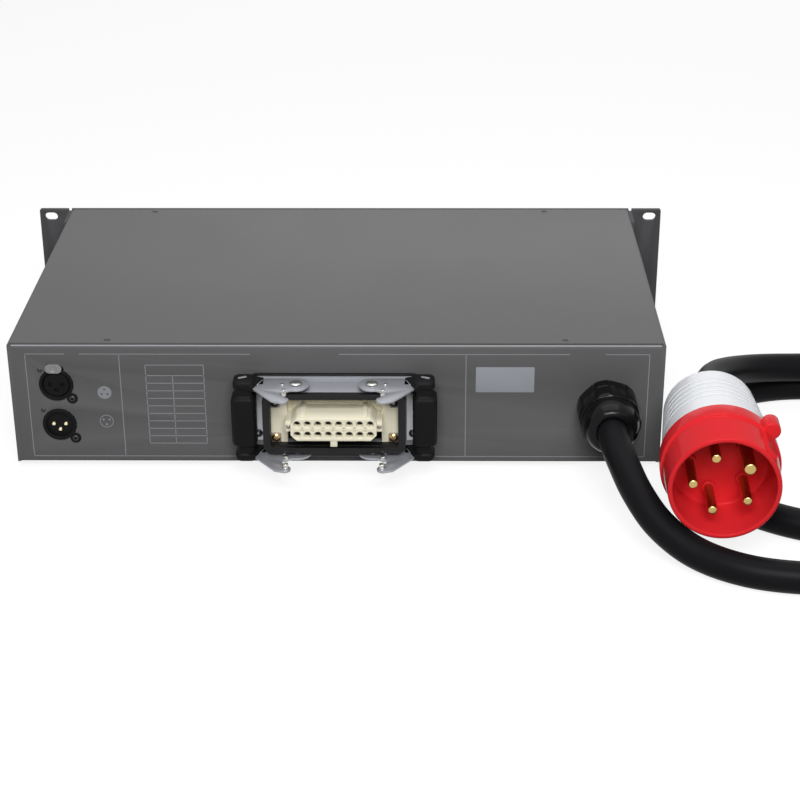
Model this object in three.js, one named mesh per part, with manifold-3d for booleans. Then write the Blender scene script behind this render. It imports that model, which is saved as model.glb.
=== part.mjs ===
// Six-channel rack dimmer pack with its heavy-duty outlet, data sockets and three-phase lead.
// Millimetres, +Z up. The rear panel faces +Y and the front panel faces -Y.
import * as THREE from 'three';
import { mergeVertices } from 'three/addons/utils/BufferGeometryUtils.js';
import Module from 'manifold-3d';

const wasm = await Module();
wasm.setup();

// Driving dimensions
const seat = 0.3; // clearance between pieces that are cut for each other
const overrun = 1; // how far a cut runs past the face it opens
const facets = { tiny: 8, small: 12, round: 18, large: 24, corner: 2 };
const tipShare = 0.7; // where a pin's rounded tip starts to close, as a share of its radius

const rack = {
  width: 482.6, height: 88.1, thick: 3, corner: 1.5, ear: 25.3,
  slotInset: 8.75, slotEdge: 5.95, slotLong: 10, slotHigh: 6.5,
  returnDeep: 23, returnThick: 2.4, notchDeep: 2,
};
const shell = {
  depth: 256, lower: 1.1, sheet: 1.5, bend: 2, reveal: 2,
  flange: 14, rim: 10,
};
const vent = { count: 11, wide: 3, high: 30, pitch: 8, first: 50 };
const foot = { height: 5, radius: 9, topRadius: 8, bore: 3, inset: 32 };

const dataPort = {
  inset: 30.5, outAbove: 13.8, inBelow: 15.4, radius: 11.2, wall: 2.2, proud: 1.2,
  flangeWide: 27, flangeHigh: 25, flangeThick: 1.6, deep: 22, cup: 11,
  insertRadius: 8.4, insertSunk: 1.2, pinCircle: 4.05, pinAngles: [0, 180, 270], pinRadius: 1.2,
  pinLong: 9.5,
  holeRadius: 1.5, holeDeep: 6, keyWide: 3,
};
const latch = { wide: 11, high: 6.4, rise: 10.9, proud: 2.4, deep: 5, travel: 1.5 };

const outlet = {
  x: 0.9, below: 3.5, long: 93.5, high: 43, corner: 6, front: 18, innerLong: 85, innerHigh: 35,
  flangeLong: 113, flangeHigh: 49.6, flangeThick: 2.4, flangeCorner: 7, screwSpan: 103, screwRise: 32,
  screwBore: 2.4,
};
const gasket = { long: 118, high: 52.4, thick: 2, corner: 8 };
const rimSeal = { proud: 3.5, innerLong: 84, innerHigh: 35 };
const insert = {
  back: 12, floor: 7.6, shoulder: 13.5, sideFrom: 31, reliefDeep: 12, blockLong: 56, blockHigh: 16,
  blockFront: 30, blockChamfer: 4, pitch: 6.8, rowPitch: 7.6, poles: 8, bore: 1.8, boreDeep: 12,
  ribWide: 3.2, ribHigh: 1.5, ribSpan: 40.4, ribFront: 29.4, pegWide: 4.5, pegHigh: 4.5, pegLong: 9,
  screwSpan: 77.5, screwRise: 27,
  screwRadius: 3.2, screwProud: 1.4,
};
const lever = {
  pivotSpan: 49.6, pivotOut: 14.4, disc: 9, plate: 1.5, studRadius: 2.6, bossRadius: 3.4,
  rivetRadius: 4, rivetProud: 1, headGap: 0.4, cheekGap: 2.7, hookReach: 27.4, hookInner: 3.2,
  hookRadius: 4.2, throat: 4.6,
  outer: 27.6, outerOut: 7, backIn: 21, pegRadius: 2.4, discAngles: [75, 270], noseAngles: [90, 250],
  throatAngles: [70, -90],
};
const grip = {
  long: 58.9, middleLong: 33, inner: 26.6, thick: 14.4, bulge: 1.6, back: -9.8, front: 5.2,
  corner: 3.5, web: 6.2,
};

const gland = {
  inset: 36.5, below: 2.5, flats: 39, cornerRadius: 20.6, bodyLong: 9, threadRadius: 15,
  lockFlats: 42, lockLong: 6, nutLong: 28.5, hexLong: 13, mouth: 14, bore: 11, boreDeep: 1.2,
  crown: 19.2, crownShare: 0.95,
};
const cable = { radius: 10, halfSides: 5, pitch: 25 };
const plug = {
  x: -238.1, y: 129.1, z: 54.4, yaw: 2.69, rim: 34.1, wall: 3, cup: 40, collar: 37,
  collarStart: 28, collarEnd: 41.5, bodyStart: 35.4, bodyEnd: 29.5, back: 108, ribs: 6,
  ribPitch: 5, ribDeep: 1.2, ribWide: 1.6, shoulderIn: 6, nutRadius: 17, nutLong: 12,
  lugRadius: 5.6, lugReach: 38, lugAngle: 147, keyWide: 8, keyHigh: 2.2, pinCircle: 18.5,
  pinRadius: 3, earthRadius: 4, earthAngle: 144, pinLong: 33, pins: 5, lipIn: 1.2,
};

const breaker = {
  inset: 128, count: 6, pitch: 17.8, room: 2, noseHigh: 45, bodyDeep: 42, noseDeep: 17, proud: 4,
  groove: 0.8, slotWide: 8, slotHigh: 24, slotDeep: 11, bevel: 3,
};
const toggle = { wide: 7, hub: 5.6, reach: 14, tip: 2.2, root: 3.4, tilt: 25, sink: 3.6 };
const rail = { high: 35, deep: 7.5, sheet: 1, lip: 4, spare: 12, leg: 14 };
const panelWindow = { inset: 96, above: 12.5, long: 56, high: 18, thick: 2.4, corner: 1.5 };
const button = {
  below: 16.5, count: 4, pitch: 19, radius: 4.6, proud: 2, flange: 5.8, flangeThick: 1,
  tail: 3, travel: 1.2,
};
const controlBoard = { long: 96, room: 11, thick: 1.6, stand: 12, post: 3, postInset: 5 };
const fan = {
  size: 60, deep: 25, duct: 28, y: -178, hub: 12, blade: 26.4, blades: 7, bladeThick: 1.4,
  pitch: 38, boss: 11, spoke: 3, spokes: 4, spokeTurn: 45, hubLong: 15, run: 0.8, corner: 4, bladeLong: 13,
};
const sink = { fanGap: 31.7, y: -150, long: 170, wide: 60, base: 5, fin: 2, fins: 9, high: 62 };
const powerBoard = {
  inset: 21, y: -72, long: 120, wide: 88, thick: 1.6, stand: 6, post: 3, postInset: 5,
  relayLong: 18, relayWide: 13, relayHigh: 16, relays: 6,
};
const choke = { ring: 15.5, tube: 7, inset: 82, y: -38, pitchX: 47, pitchY: 46, columns: 3, rows: 2 };
const transformer = {
  inset: 31, y: -138, coreLong: 50, coreWide: 26, coreHigh: 42, bobbin: 38, bobbinLong: 30,
};
const terminals = { inset: 34, y: -26, poles: 5, pitch: 9, wide: 20, high: 22, bore: 2.2 };

// Colours and finishes
const finishes = {
  caseGrey: [0x6f6f71, 0.55, 0.2], panelGrey: [0x5b5b5d, 0.55, 0.2], zinc: [0xb4b8bd, 0.35, 0.9],
  castGrey: [0x9a9ca0, 0.5, 0.5], black: [0x141414, 0.5, 0], rubber: [0x1b1b1b, 0.8, 0],
  cream: [0xd8d0b4, 0.6, 0], red: [0xc81a22, 0.35, 0], white: [0xe9ebec, 0.4, 0],
  brass: [0xc9a85a, 0.3, 1], silver: [0xc8c8c4, 0.3, 1], board: [0x1f6b3a, 0.6, 0],
  copper: [0xa8642c, 0.4, 0.6], steel: [0x8e9094, 0.45, 0.8], lens: [0x3a0c0c, 0.15, 0],
  light: [0xd9d9d6, 0.5, 0],
};

// Derived levels and places, measured from the floor, the case's sides and the rear panel's outer face
const shellHeight = rack.height - shell.lower;
const shellHalf = rack.width / 2 - rack.ear;
const floorZ = foot.height;
const topZ = floorZ + shellHeight;
const middleZ = floorZ + shellHeight / 2;
const frontY = -shell.depth;
const insideFloor = floorZ + shell.sheet;
const chassisHalf = shellHalf - shell.bend - seat;
const chassisTop = topZ - shell.sheet;

// Solids from geometries, and back
function solidOf(geometry) {
  const bare = geometry.clone();
  for (const name of Object.keys(bare.attributes)) {
    if (name !== 'position') bare.deleteAttribute(name);
  }
  const merged = mergeVertices(bare);
  const source = merged.index.array;
  const place = merged.attributes.position.array;
  const kept = [];
  for (let i = 0; i < source.length; i += 3) {
    const [a, b, c] = [source[i], source[i + 1], source[i + 2]];
    if (a !== b && b !== c && c !== a) kept.push(a, b, c);
  }
  if (signedVolume(place, kept) < 0) kept.reverse();
  return new wasm.Manifold(new wasm.Mesh({
    numProp: 3, vertProperties: new Float32Array(place), triVerts: new Uint32Array(kept),
  }));
}

function signedVolume(place, triangles) {
  const corner = (i) => new THREE.Vector3().fromArray(place, 3 * i);
  let sum = 0;
  for (let i = 0; i < triangles.length; i += 3) {
    const [a, b, c] = [corner(triangles[i]), corner(triangles[i + 1]), corner(triangles[i + 2])];
    sum += a.dot(b.cross(c));
  }
  return sum;
}

function geometryOf(solid) {
  const mesh = solid.getMesh();
  const geometry = new THREE.BufferGeometry();
  geometry.setAttribute('position', new THREE.BufferAttribute(mesh.vertProperties, 3));
  geometry.setIndex(new THREE.BufferAttribute(mesh.triVerts, 1));
  geometry.computeVertexNormals();
  return geometry;
}

const join = (...solids) => solids.reduce((whole, next) => whole.add(next));
const cut = (whole, ...tools) => tools.reduce((rest, tool) => rest.subtract(tool), whole);

// Blocks, prisms and turned shapes as solids
function block([x0, x1], [y0, y1], [z0, z1]) {
  const box = new THREE.BoxGeometry(Math.abs(x1 - x0), Math.abs(y1 - y0), Math.abs(z1 - z0));
  return solidOf(box.translate((x0 + x1) / 2, (y0 + y1) / 2, (z0 + z1) / 2));
}

const around = (middle, size) => [middle - size / 2, middle + size / 2];

const axes = {
  x: [new THREE.Vector3(0, 1, 0), new THREE.Vector3(0, 0, 1), new THREE.Vector3(1, 0, 0)],
  y: [new THREE.Vector3(1, 0, 0), new THREE.Vector3(0, 0, 1), new THREE.Vector3(0, -1, 0)],
  z: [new THREE.Vector3(1, 0, 0), new THREE.Vector3(0, 1, 0), new THREE.Vector3(0, 0, 1)],
};

// An outline pushed along an axis from one place to another
function prism(axis, outline, from, to, segments = facets.corner) {
  const [low, high] = [Math.min(from, to), Math.max(from, to)];
  const geometry = new THREE.ExtrudeGeometry(outline, {
    depth: high - low, bevelEnabled: false, curveSegments: segments,
  });
  geometry.applyMatrix4(new THREE.Matrix4().makeBasis(...axes[axis]));
  const start = axis === 'y' ? high : low;
  return solidOf(geometry.translate(...['x', 'y', 'z'].map((a) => (a === axis ? start : 0))));
}

// A profile of [radius, place] pairs turned about an axis through the other two places
function turned(axis, profile, [a, b], segments = facets.round) {
  const points = profile.map(([radius, place]) => new THREE.Vector2(radius, place));
  const geometry = new THREE.LatheGeometry(points, segments);
  if (axis === 'z') geometry.rotateX(Math.PI / 2);
  if (axis === 'x') geometry.rotateZ(-Math.PI / 2);
  const move = { x: [0, a, b], y: [a, 0, b], z: [a, b, 0] }[axis];
  return solidOf(geometry.translate(...move));
}

// A plain round bar, or a cutter for a round hole
function bar(axis, radius, from, to, middle, segments = facets.round) {
  return turned(axis, [[0, from], [radius, from], [radius, to], [0, to]], middle, segments);
}

function roundedRect(long, high, radius, cx = 0, cy = 0) {
  const [x0, x1] = around(cx, long);
  const [y0, y1] = around(cy, high);
  const shape = new THREE.Shape();
  shape.absarc(x1 - radius, y0 + radius, radius, -Math.PI / 2, 0);
  shape.absarc(x1 - radius, y1 - radius, radius, 0, Math.PI / 2);
  shape.absarc(x0 + radius, y1 - radius, radius, Math.PI / 2, Math.PI);
  shape.absarc(x0 + radius, y0 + radius, radius, Math.PI, Math.PI * 3 / 2);
  shape.closePath();
  return shape;
}

function hexagon(flats, cx, cy, sides = 6) {
  const radius = flats / 2 / Math.cos(Math.PI / sides);
  const points = Array.from({ length: sides }, (_, i) => {
    const angle = 2 * Math.PI * i / sides;
    return new THREE.Vector2(cx + radius * Math.cos(angle), cy + radius * Math.sin(angle));
  });
  return new THREE.Shape(points);
}

const outlineOf = (pairs) => new THREE.Shape(pairs.map(([x, y]) => new THREE.Vector2(x, y)));
const radians = THREE.MathUtils.degToRad;

// Named pieces gathered in order; the lead and what is on it are kept apart
const ownPieces = new THREE.Group();
const leadPieces = new THREE.Group();

function piece(name, solid, finish, group = ownPieces) {
  const [colour, roughness, metalness] = finishes[finish];
  const material = new THREE.MeshStandardMaterial({ color: colour, roughness, metalness });
  const mesh = new THREE.Mesh(geometryOf(solid), material);
  mesh.name = name;
  group.add(mesh);
  return mesh;
}

// Case: folded chassis, cover, front panel and feet
const portX = shellHalf - dataPort.inset;
const outZ = middleZ + dataPort.outAbove;
const inZ = middleZ - dataPort.inBelow;
const outletZ = middleZ - outlet.below;
const glandAt = [gland.inset - shellHalf, middleZ - gland.below];
const breakerX = shellHalf - breaker.inset;
const breakerZ = (insideFloor + chassisTop) / 2;
const displayAt = [panelWindow.inset - shellHalf, middleZ + panelWindow.above];
const buttonZ = middleZ - button.below;

function latchOutline(spare) {
  return roundedRect(latch.wide + 2 * spare, latch.high + 2 * spare, latch.high / 2,
    portX, outZ + latch.rise);
}

function makeChassis() {
  const middleY = frontY / 2;
  const level = (floorZ + chassisTop) / 2;
  const outside = roundedRect(shell.depth, chassisTop - floorZ, shell.bend, middleY, level);
  const inside = roundedRect(shell.depth - 2 * shell.sheet, chassisTop - floorZ - 2 * shell.sheet,
    shell.bend - shell.sheet, middleY, level);
  const span = [-chassisHalf, chassisHalf];
  const tube = cut(prism('x', outside, ...span), prism('x', inside, span[0] - overrun, span[1] + overrun));
  const open = block([span[0] - overrun, span[1] + overrun],
    [frontY + shell.flange, -shell.flange], [level, topZ]);
  const window = block([span[0] + shell.rim, span[1] - shell.rim],
    [frontY - overrun, frontY + shell.bend + overrun], [insideFloor + shell.rim, chassisTop - shell.rim]);
  const through = [-shell.sheet - overrun, overrun];
  const port = (z) => bar('y', dataPort.radius + seat, ...through, [portX, z]);
  return cut(tube, open, window, port(outZ), port(inZ),
    prism('y', latchOutline(seat), ...through),
    prism('y', roundedRect(outlet.innerLong, outlet.innerHigh, shell.bend, outlet.x, outletZ), ...through),
    bar('y', gland.threadRadius + seat, ...through, glandAt));
}

function makeCover() {
  const height = shellHeight + shell.bend;
  const z = topZ - height / 2;
  const outside = roundedRect(2 * shellHalf, height, shell.bend, 0, z);
  const inside = roundedRect(2 * (shellHalf - shell.sheet), height - 2 * shell.sheet,
    shell.bend - shell.sheet, 0, z);
  const below = block(around(0, 2 * shellHalf + overrun), [frontY - overrun, overrun],
    [z - height, floorZ]);
  const rearStrip = block(around(0, 2 * chassisHalf), [-shell.reveal, overrun], [chassisTop, topZ + overrun]);
  const slots = [-1, 1].flatMap((side) => Array.from({ length: vent.count }, (_, i) => {
    const y = frontY + vent.first + i * vent.pitch;
    return block(around(side * shellHalf, 4 * shell.sheet), around(y, vent.wide),
      around((floorZ + topZ) / 2, vent.high));
  }));
  return cut(prism('y', outside, frontY, 0),
    prism('y', inside, frontY - overrun, overrun), below, rearStrip, ...slots);
}

function makeFrontPanel() {
  const bottom = topZ - rack.height;
  const middle = (bottom + topZ) / 2;
  const back = frontY;
  const front = back - rack.thick;
  const plate = prism('y', roundedRect(rack.width, rack.height, rack.corner, 0, middle), front, back);
  const returnX = shellHalf + seat;
  const returns = [-1, 1].map((side) => block([side * returnX, side * (returnX + rack.returnThick)],
    [back, back + rack.returnDeep], [bottom + rack.notchDeep, topZ - rack.notchDeep]));
  const notches = [-1, 1].flatMap((side) => [bottom, topZ].map((edge) => block(
    around(side * (returnX + rack.returnThick / 2), rack.returnThick),
    [front - overrun, back + overrun], around(edge, 2 * rack.notchDeep))));
  const span = [front - overrun, back + overrun];
  const slots = [-1, 1].flatMap((side) => [-1, 1].map((rise) => prism('y',
    roundedRect(rack.slotLong, rack.slotHigh, rack.slotHigh / 2,
      side * (rack.width / 2 - rack.slotInset), middle + rise * (rack.height / 2 - rack.slotEdge)),
    ...span)));
  const breakers = block(around(breakerX, breaker.count * breaker.pitch + 2 * seat), span,
    around(breakerZ, breaker.noseHigh + 2 * seat));
  const display = prism('y', roundedRect(panelWindow.long + 2 * seat, panelWindow.high + 2 * seat,
    panelWindow.corner, ...displayAt), ...span);
  const holes = buttonPlaces().map((x) => bar('y', button.radius + seat, ...span,
    [x, buttonZ]));
  return cut(join(plate, ...returns), ...notches, ...slots, breakers, display, ...holes);
}

function buttonPlaces() {
  return Array.from({ length: button.count }, (_, i) =>
    displayAt[0] + (i - (button.count - 1) / 2) * button.pitch);
}

function makeFoot(x, y) {
  return cut(turned('z', [[0, 0], [foot.topRadius, 0], [foot.radius, foot.height], [0, foot.height]], [x, y]),
    bar('z', foot.bore, -overrun, foot.height / 2, [x, y], facets.small));
}

piece('chassis', makeChassis(), 'caseGrey');
piece('top_cover', makeCover(), 'caseGrey');
piece('front_panel', makeFrontPanel(), 'panelGrey');
for (const [end, y] of [['front', frontY + foot.inset], ['rear', -foot.inset]]) {
  for (const [side, sign] of [['left', -1], ['right', 1]]) {
    piece(`foot_${end}_${side}`, makeFoot(sign * (shellHalf - foot.inset), y), 'rubber');
  }
}

// Data sockets
function portShell(z, back) {
  const at = [portX, z];
  const flange = prism('y', roundedRect(dataPort.flangeWide, dataPort.flangeHigh, shell.bend, ...at),
    -shell.sheet - dataPort.flangeThick, -shell.sheet);
  const barrel = bar('y', dataPort.radius, back, dataPort.proud, at);
  return join(flange, barrel);
}

function makeOutPort() {
  const at = [portX, outZ];
  const pocket = bar('y', dataPort.insertRadius + seat, -dataPort.cup, dataPort.proud + overrun, at);
  const slot = prism('y', latchOutline(seat), -shell.sheet - latch.deep - latch.travel - seat,
    dataPort.proud + overrun);
  return cut(portShell(outZ, -dataPort.deep), pocket, slot);
}

function pinPlaces(z) {
  return dataPort.pinAngles.map((angle) => [
    portX + dataPort.pinCircle * Math.cos(radians(angle)),
    z + dataPort.pinCircle * Math.sin(radians(angle)),
  ]);
}

function makeOutInsert() {
  const front = dataPort.proud - dataPort.insertSunk;
  const disc = bar('y', dataPort.insertRadius, -dataPort.cup + seat, front, [portX, outZ]);
  const slot = prism('y', latchOutline(seat), -dataPort.cup - overrun, front + overrun);
  const holes = pinPlaces(outZ).map((at) =>
    bar('y', dataPort.holeRadius, front - dataPort.holeDeep, front + overrun, at, facets.small));
  return cut(disc, slot, ...holes);
}

function makeInPort() {
  const at = [portX, inZ];
  const cup = bar('y', dataPort.radius - dataPort.wall, dataPort.proud - dataPort.cup,
    dataPort.proud + overrun, at);
  const key = block(around(portX, dataPort.keyWide),
    [dataPort.proud - dataPort.cup, dataPort.proud - dataPort.wall],
    [inZ - dataPort.radius + dataPort.wall - overrun, inZ - dataPort.radius + 2 * dataPort.wall]);
  const holes = pinPlaces(inZ).map((place) => bar('y', dataPort.pinRadius + seat,
    dataPort.proud - dataPort.cup - dataPort.holeDeep, dataPort.proud, place, facets.small));
  return cut(join(cut(portShell(inZ, -dataPort.deep), cup), key), ...holes);
}

function makeDataPin([x, z]) {
  const back = dataPort.proud - dataPort.cup - dataPort.holeDeep + seat;
  const front = back + dataPort.holeDeep + dataPort.pinLong;
  const r = dataPort.pinRadius;
  return turned('y', [[0, back], [r, back], [r, front - r],
    [r * tipShare, front - r * (1 - tipShare)], [0, front]],
    [x, z], facets.small);
}

piece('xlr_out_body', makeOutPort(), 'black');
piece('xlr_out_insert', makeOutInsert(), 'black');
piece('xlr_out_latch', prism('y', latchOutline(0), -shell.sheet - latch.deep, latch.proud), 'silver');
piece('xlr_in_body', makeInPort(), 'black');
pinPlaces(inZ).forEach((place, i) => piece(`xlr_in_pin_${i + 1}`, makeDataPin(place), 'brass'));

// Load outlet: gasket, cast housing, rim seal, contact insert and two locking levers
const gasketFront = gasket.thick;
const housingFront = gasketFront + outlet.front;
const outletRect = (long, high, corner) => roundedRect(long, high, corner, outlet.x, outletZ);

function makeGasket() {
  return cut(prism('y', outletRect(gasket.long, gasket.high, gasket.corner), 0, gasketFront),
    prism('y', outletRect(outlet.innerLong, outlet.innerHigh, shell.bend), -overrun, gasketFront + overrun),
    ...flangeScrews(-overrun, gasketFront + overrun));
}

function flangeScrews(from, to) {
  return [-1, 1].flatMap((side) => [-1, 1].map((rise) => bar('y', outlet.screwBore, from, to,
    [outlet.x + side * outlet.screwSpan / 2, outletZ + rise * outlet.screwRise / 2], facets.small)));
}

// Each lever turns on a stud that stands up from the housing's top wall and down from its bottom wall
function pivotPlaces(side) {
  return [outlet.x + side * lever.pivotSpan / 2, gasketFront + lever.pivotOut];
}

function makeHousing() {
  const flangeFront = gasketFront + outlet.flangeThick;
  const flange = prism('y', outletRect(outlet.flangeLong, outlet.flangeHigh, outlet.flangeCorner),
    gasketFront, flangeFront);
  const walls = prism('y', outletRect(outlet.long, outlet.high, outlet.corner), gasketFront, housingFront);
  const well = prism('y', outletRect(outlet.innerLong, outlet.innerHigh, shell.bend),
    gasketFront - overrun, housingFront + overrun);
  const studs = [-1, 1].flatMap((side) => [-1, 1].map((rise) => {
    const wall = outletZ + rise * outlet.high / 2;
    const headFrom = wall + rise * (lever.cheekGap + lever.plate + lever.headGap);
    const rod = (radius, to) => bar('z', radius, wall - rise * outlet.corner / 2, to,
      pivotPlaces(side), facets.small);
    const boss = rod(lever.bossRadius, wall + rise * (lever.cheekGap - lever.headGap));
    const neck = rod(lever.studRadius, headFrom + rise * lever.rivetProud / 2);
    const head = bar('z', lever.rivetRadius, headFrom, headFrom + rise * lever.rivetProud,
      pivotPlaces(side), facets.small);
    return join(boss, neck, head);
  }));
  return cut(join(flange, walls, ...studs), well,
    ...flangeScrews(gasketFront - overrun, flangeFront + overrun));
}

function makeRimSeal() {
  const outer = prism('y', outletRect(outlet.long, outlet.high, outlet.corner),
    housingFront, housingFront + rimSeal.proud);
  return cut(outer, prism('y', outletRect(rimSeal.innerLong, rimSeal.innerHigh, outlet.corner / 2),
    housingFront - overrun, housingFront + rimSeal.proud + overrun));
}

// Contact insert: a raised block between two side platforms, with a gap below the block
function makeInsert() {
  const floor = gasketFront + insert.floor;
  const shoulder = gasketFront + insert.shoulder;
  const tip = gasketFront + insert.blockFront;
  const [x0, x1] = around(outlet.x, insert.blockLong);
  const [z0, z1] = around(outletZ, insert.blockHigh);
  const middle = around(outlet.x, 2 * insert.sideFrom);
  const base = cut(prism('y', outletRect(outlet.innerLong - 2 * seat, outlet.innerHigh - 2 * seat,
    shell.bend), -insert.back, shoulder),
  block(middle, [floor, shoulder + overrun], around(outletZ, outlet.innerHigh)),
  block(middle, [floor - insert.reliefDeep, floor + overrun], [outletZ - outlet.innerHigh, z0]));
  const c = insert.blockChamfer;
  const blockShape = outlineOf([[x0, z0 + c], [x0 + c, z0], [x1 - c, z0], [x1, z0 + c],
    [x1, z1 - c], [x1 - c, z1], [x0 + c, z1], [x0, z1 - c]]);
  const raised = prism('y', blockShape, floor - overrun, tip);
  const ribs = [-1, 1].map((side) => block(
    around(outlet.x + side * insert.ribSpan / 2, insert.ribWide),
    [floor - overrun, gasketFront + insert.ribFront], [z1 - overrun, z1 + insert.ribHigh]));
  const peg = block(around(outlet.x, insert.pegWide), [tip - insert.pegLong, gasketFront + insert.ribFront],
    [z0 - insert.pegHigh, z0 + overrun]);
  const screws = [-1, 1].flatMap((side) => [-1, 1].map((rise) => bar('y', insert.screwRadius,
    shoulder - overrun, shoulder + insert.screwProud,
    [outlet.x + side * insert.screwSpan / 2, outletZ + rise * insert.screwRise / 2], facets.small)));
  const holes = contactPlaces().map((at) => bar('y', insert.bore, tip - insert.boreDeep,
    tip + overrun, at, facets.tiny));
  return cut(join(base, raised, ...ribs, peg, ...screws), ...holes);
}

function contactPlaces() {
  return Array.from({ length: insert.poles }, (_, i) =>
    outlet.x + (i - (insert.poles - 1) / 2) * insert.pitch)
    .flatMap((x) => [-1, 1].map((row) => [x, outletZ + row * insert.rowPitch / 2]));
}

// Plan of one cheek, as distances outwards from the pivot and away from the rear panel
function cheekOutline(side) {
  const [px, py] = pivotPlaces(side);
  const at = (u, v) => new THREE.Vector2(px + side * u, py + v);
  const points = [];
  const arc = (cu, cv, radius, from, to, steps) => {
    for (let i = 0; i <= steps; i += 1) {
      const angle = radians(from + (to - from) * i / steps);
      points.push(at(cu + radius * Math.cos(angle), cv + radius * Math.sin(angle)));
    }
  };
  const hookMiddle = lever.hookInner + lever.hookRadius;
  arc(0, 0, lever.disc, ...lever.discAngles, facets.round / 2);
  points.push(at(lever.backIn, -lever.disc));
  points.push(at(lever.outer, lever.outerOut));
  points.push(at(lever.outer / 2, lever.hookReach - lever.hookRadius / 2));
  arc(hookMiddle, lever.hookReach - lever.hookRadius, lever.hookRadius, ...lever.noseAngles,
    facets.corner * 2);
  arc(hookMiddle, lever.disc + lever.throat, lever.throat / 2, ...lever.throatAngles,
    facets.corner * 2);
  return new THREE.Shape(points);
}

function cheekLevels(rise) {
  const wall = outletZ + rise * (outlet.high / 2 + lever.cheekGap);
  return [wall, wall + rise * lever.plate];
}

// The stirrup: two cheeks joined by a web that runs inside the grip
function makeBail(side) {
  const [px, py] = pivotPlaces(side);
  const cheeks = [-1, 1].map((rise) => prism('z', cheekOutline(side), ...cheekLevels(rise)));
  const webX = px + side * (grip.inner + grip.web);
  const arms = [-1, 1].map((rise) => block([px + side * lever.backIn, webX + side * lever.plate],
    [py + grip.back + 2 * lever.plate, py + grip.front - 3 * lever.plate], cheekLevels(rise)));
  const web = block([webX, webX + side * lever.plate],
    [py + grip.back + 2 * lever.plate, py + grip.front - 3 * lever.plate],
    [cheekLevels(-1)[1], cheekLevels(1)[1]]);
  const bores = bar('z', lever.studRadius + seat / 2, cheekLevels(-1)[1] - overrun,
    cheekLevels(1)[1] + overrun, [px, py], facets.small);
  const pegs = [-1, 1].map((rise) => bar('z', lever.pegRadius, cheekLevels(rise)[0] + rise * lever.plate / 2,
    cheekLevels(rise)[1] + rise * lever.rivetProud,
    [px + side * lever.disc, py + lever.disc / 4], facets.small));
  return cut(join(...cheeks, ...arms, web, ...pegs), bores);
}

// Moulded grip: a fat middle, stepped ends and caps that lap over the cheeks
function makeGrip(side) {
  const [px, py] = pivotPlaces(side);
  const x = px + side * (grip.inner + grip.thick / 2);
  const y = py + (grip.back + grip.front) / 2;
  const deep = grip.front - grip.back;
  const column = prism('z', roundedRect(grip.thick, deep, grip.corner, x, y), ...around(outletZ, grip.long));
  const middle = prism('z', roundedRect(grip.thick + grip.bulge, deep + grip.bulge, grip.corner,
    x + side * grip.bulge / 2, y + grip.bulge / 2), ...around(outletZ, grip.middleLong));
  const capFrom = outlet.high / 2 + lever.cheekGap;
  const caps = [-1, 1].map((rise) => {
    const edge = outlineOf([[px + side * (lever.backIn + seat), py - lever.disc],
      [px + side * (lever.outer + seat), py + lever.outerOut], [x, py + lever.outerOut],
      [x, py - lever.disc]]);
    return prism('z', edge, outletZ + rise * capFrom, outletZ + rise * grip.long / 2);
  });
  const slotX = px + side * (grip.inner + grip.web);
  const armY = [py + grip.back + 2 * lever.plate - seat, py + grip.front - 3 * lever.plate + seat];
  const webSlot = block([slotX - side * seat, slotX + side * (lever.plate + seat)], armY,
    [cheekLevels(-1)[1] - seat, cheekLevels(1)[1] + seat]);
  const armSlots = [-1, 1].map((rise) => block([px + side * (lever.backIn - overrun),
    slotX + side * (lever.plate + seat)], armY,
  [cheekLevels(rise)[0] - rise * seat, cheekLevels(rise)[1] + rise * seat]));
  const cheekRoom = [-1, 1].map((rise) => prism('z', cheekOutline(side),
    cheekLevels(rise)[0] - rise * seat, cheekLevels(rise)[1] + rise * seat));
  return cut(join(column, middle, ...caps), webSlot, ...armSlots, ...cheekRoom);
}

piece('outlet_gasket', makeGasket(), 'rubber');
piece('outlet_housing', makeHousing(), 'castGrey');
piece('outlet_rim_seal', makeRimSeal(), 'rubber');
piece('outlet_insert', makeInsert(), 'cream');
for (const [name, side] of [['left', -1], ['right', 1]]) {
  piece(`lever_${name}_bail`, makeBail(side), 'zinc');
  piece(`lever_${name}_grip`, makeGrip(side), 'black');
}

// Cable gland
const nutStart = gland.bodyLong + seat;
const nutEnd = nutStart + gland.nutLong;

// Hexagon with its corners turned off
function glandHex(from, to) {
  const waste = cut(bar('y', gland.flats, from - overrun, to + overrun, glandAt),
    bar('y', gland.cornerRadius, from - 2 * overrun, to + 2 * overrun, glandAt));
  return cut(prism('y', hexagon(gland.flats, ...glandAt), from, to), waste);
}

function makeGlandBody() {
  const head = glandHex(0, gland.bodyLong);
  const thread = bar('y', gland.threadRadius, -shell.sheet - seat - gland.lockLong - overrun,
    gland.bodyLong, glandAt);
  return cut(join(head, thread), bar('y', gland.bore, -shell.depth / 2, gland.bodyLong / 2, glandAt));
}

function makeGlandNut() {
  const hex = glandHex(nutStart, nutStart + gland.hexLong);
  const dome = turned('y', [[0, nutStart], [gland.crown, nutStart], [gland.crown, nutStart + gland.hexLong],
    [gland.crown * gland.crownShare, nutStart + gland.nutLong / 2],
    [(gland.crown + gland.mouth) / 2, nutEnd - gland.boreDeep * 2],
    [gland.mouth, nutEnd], [0, nutEnd]], glandAt);
  return cut(join(hex, dome), bar('y', gland.bore, nutEnd - gland.boreDeep, nutEnd + overrun, glandAt));
}

function makeLocknut() {
  const from = -shell.sheet - seat;
  return cut(prism('y', hexagon(gland.lockFlats, ...glandAt), from - gland.lockLong, from),
    bar('y', gland.threadRadius + seat / 2, from - 2 * gland.lockLong, overrun, glandAt));
}

piece('gland_body', makeGlandBody(), 'black');
piece('gland_nut', makeGlandNut(), 'black');
piece('gland_locknut', makeLocknut(), 'black');

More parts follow.
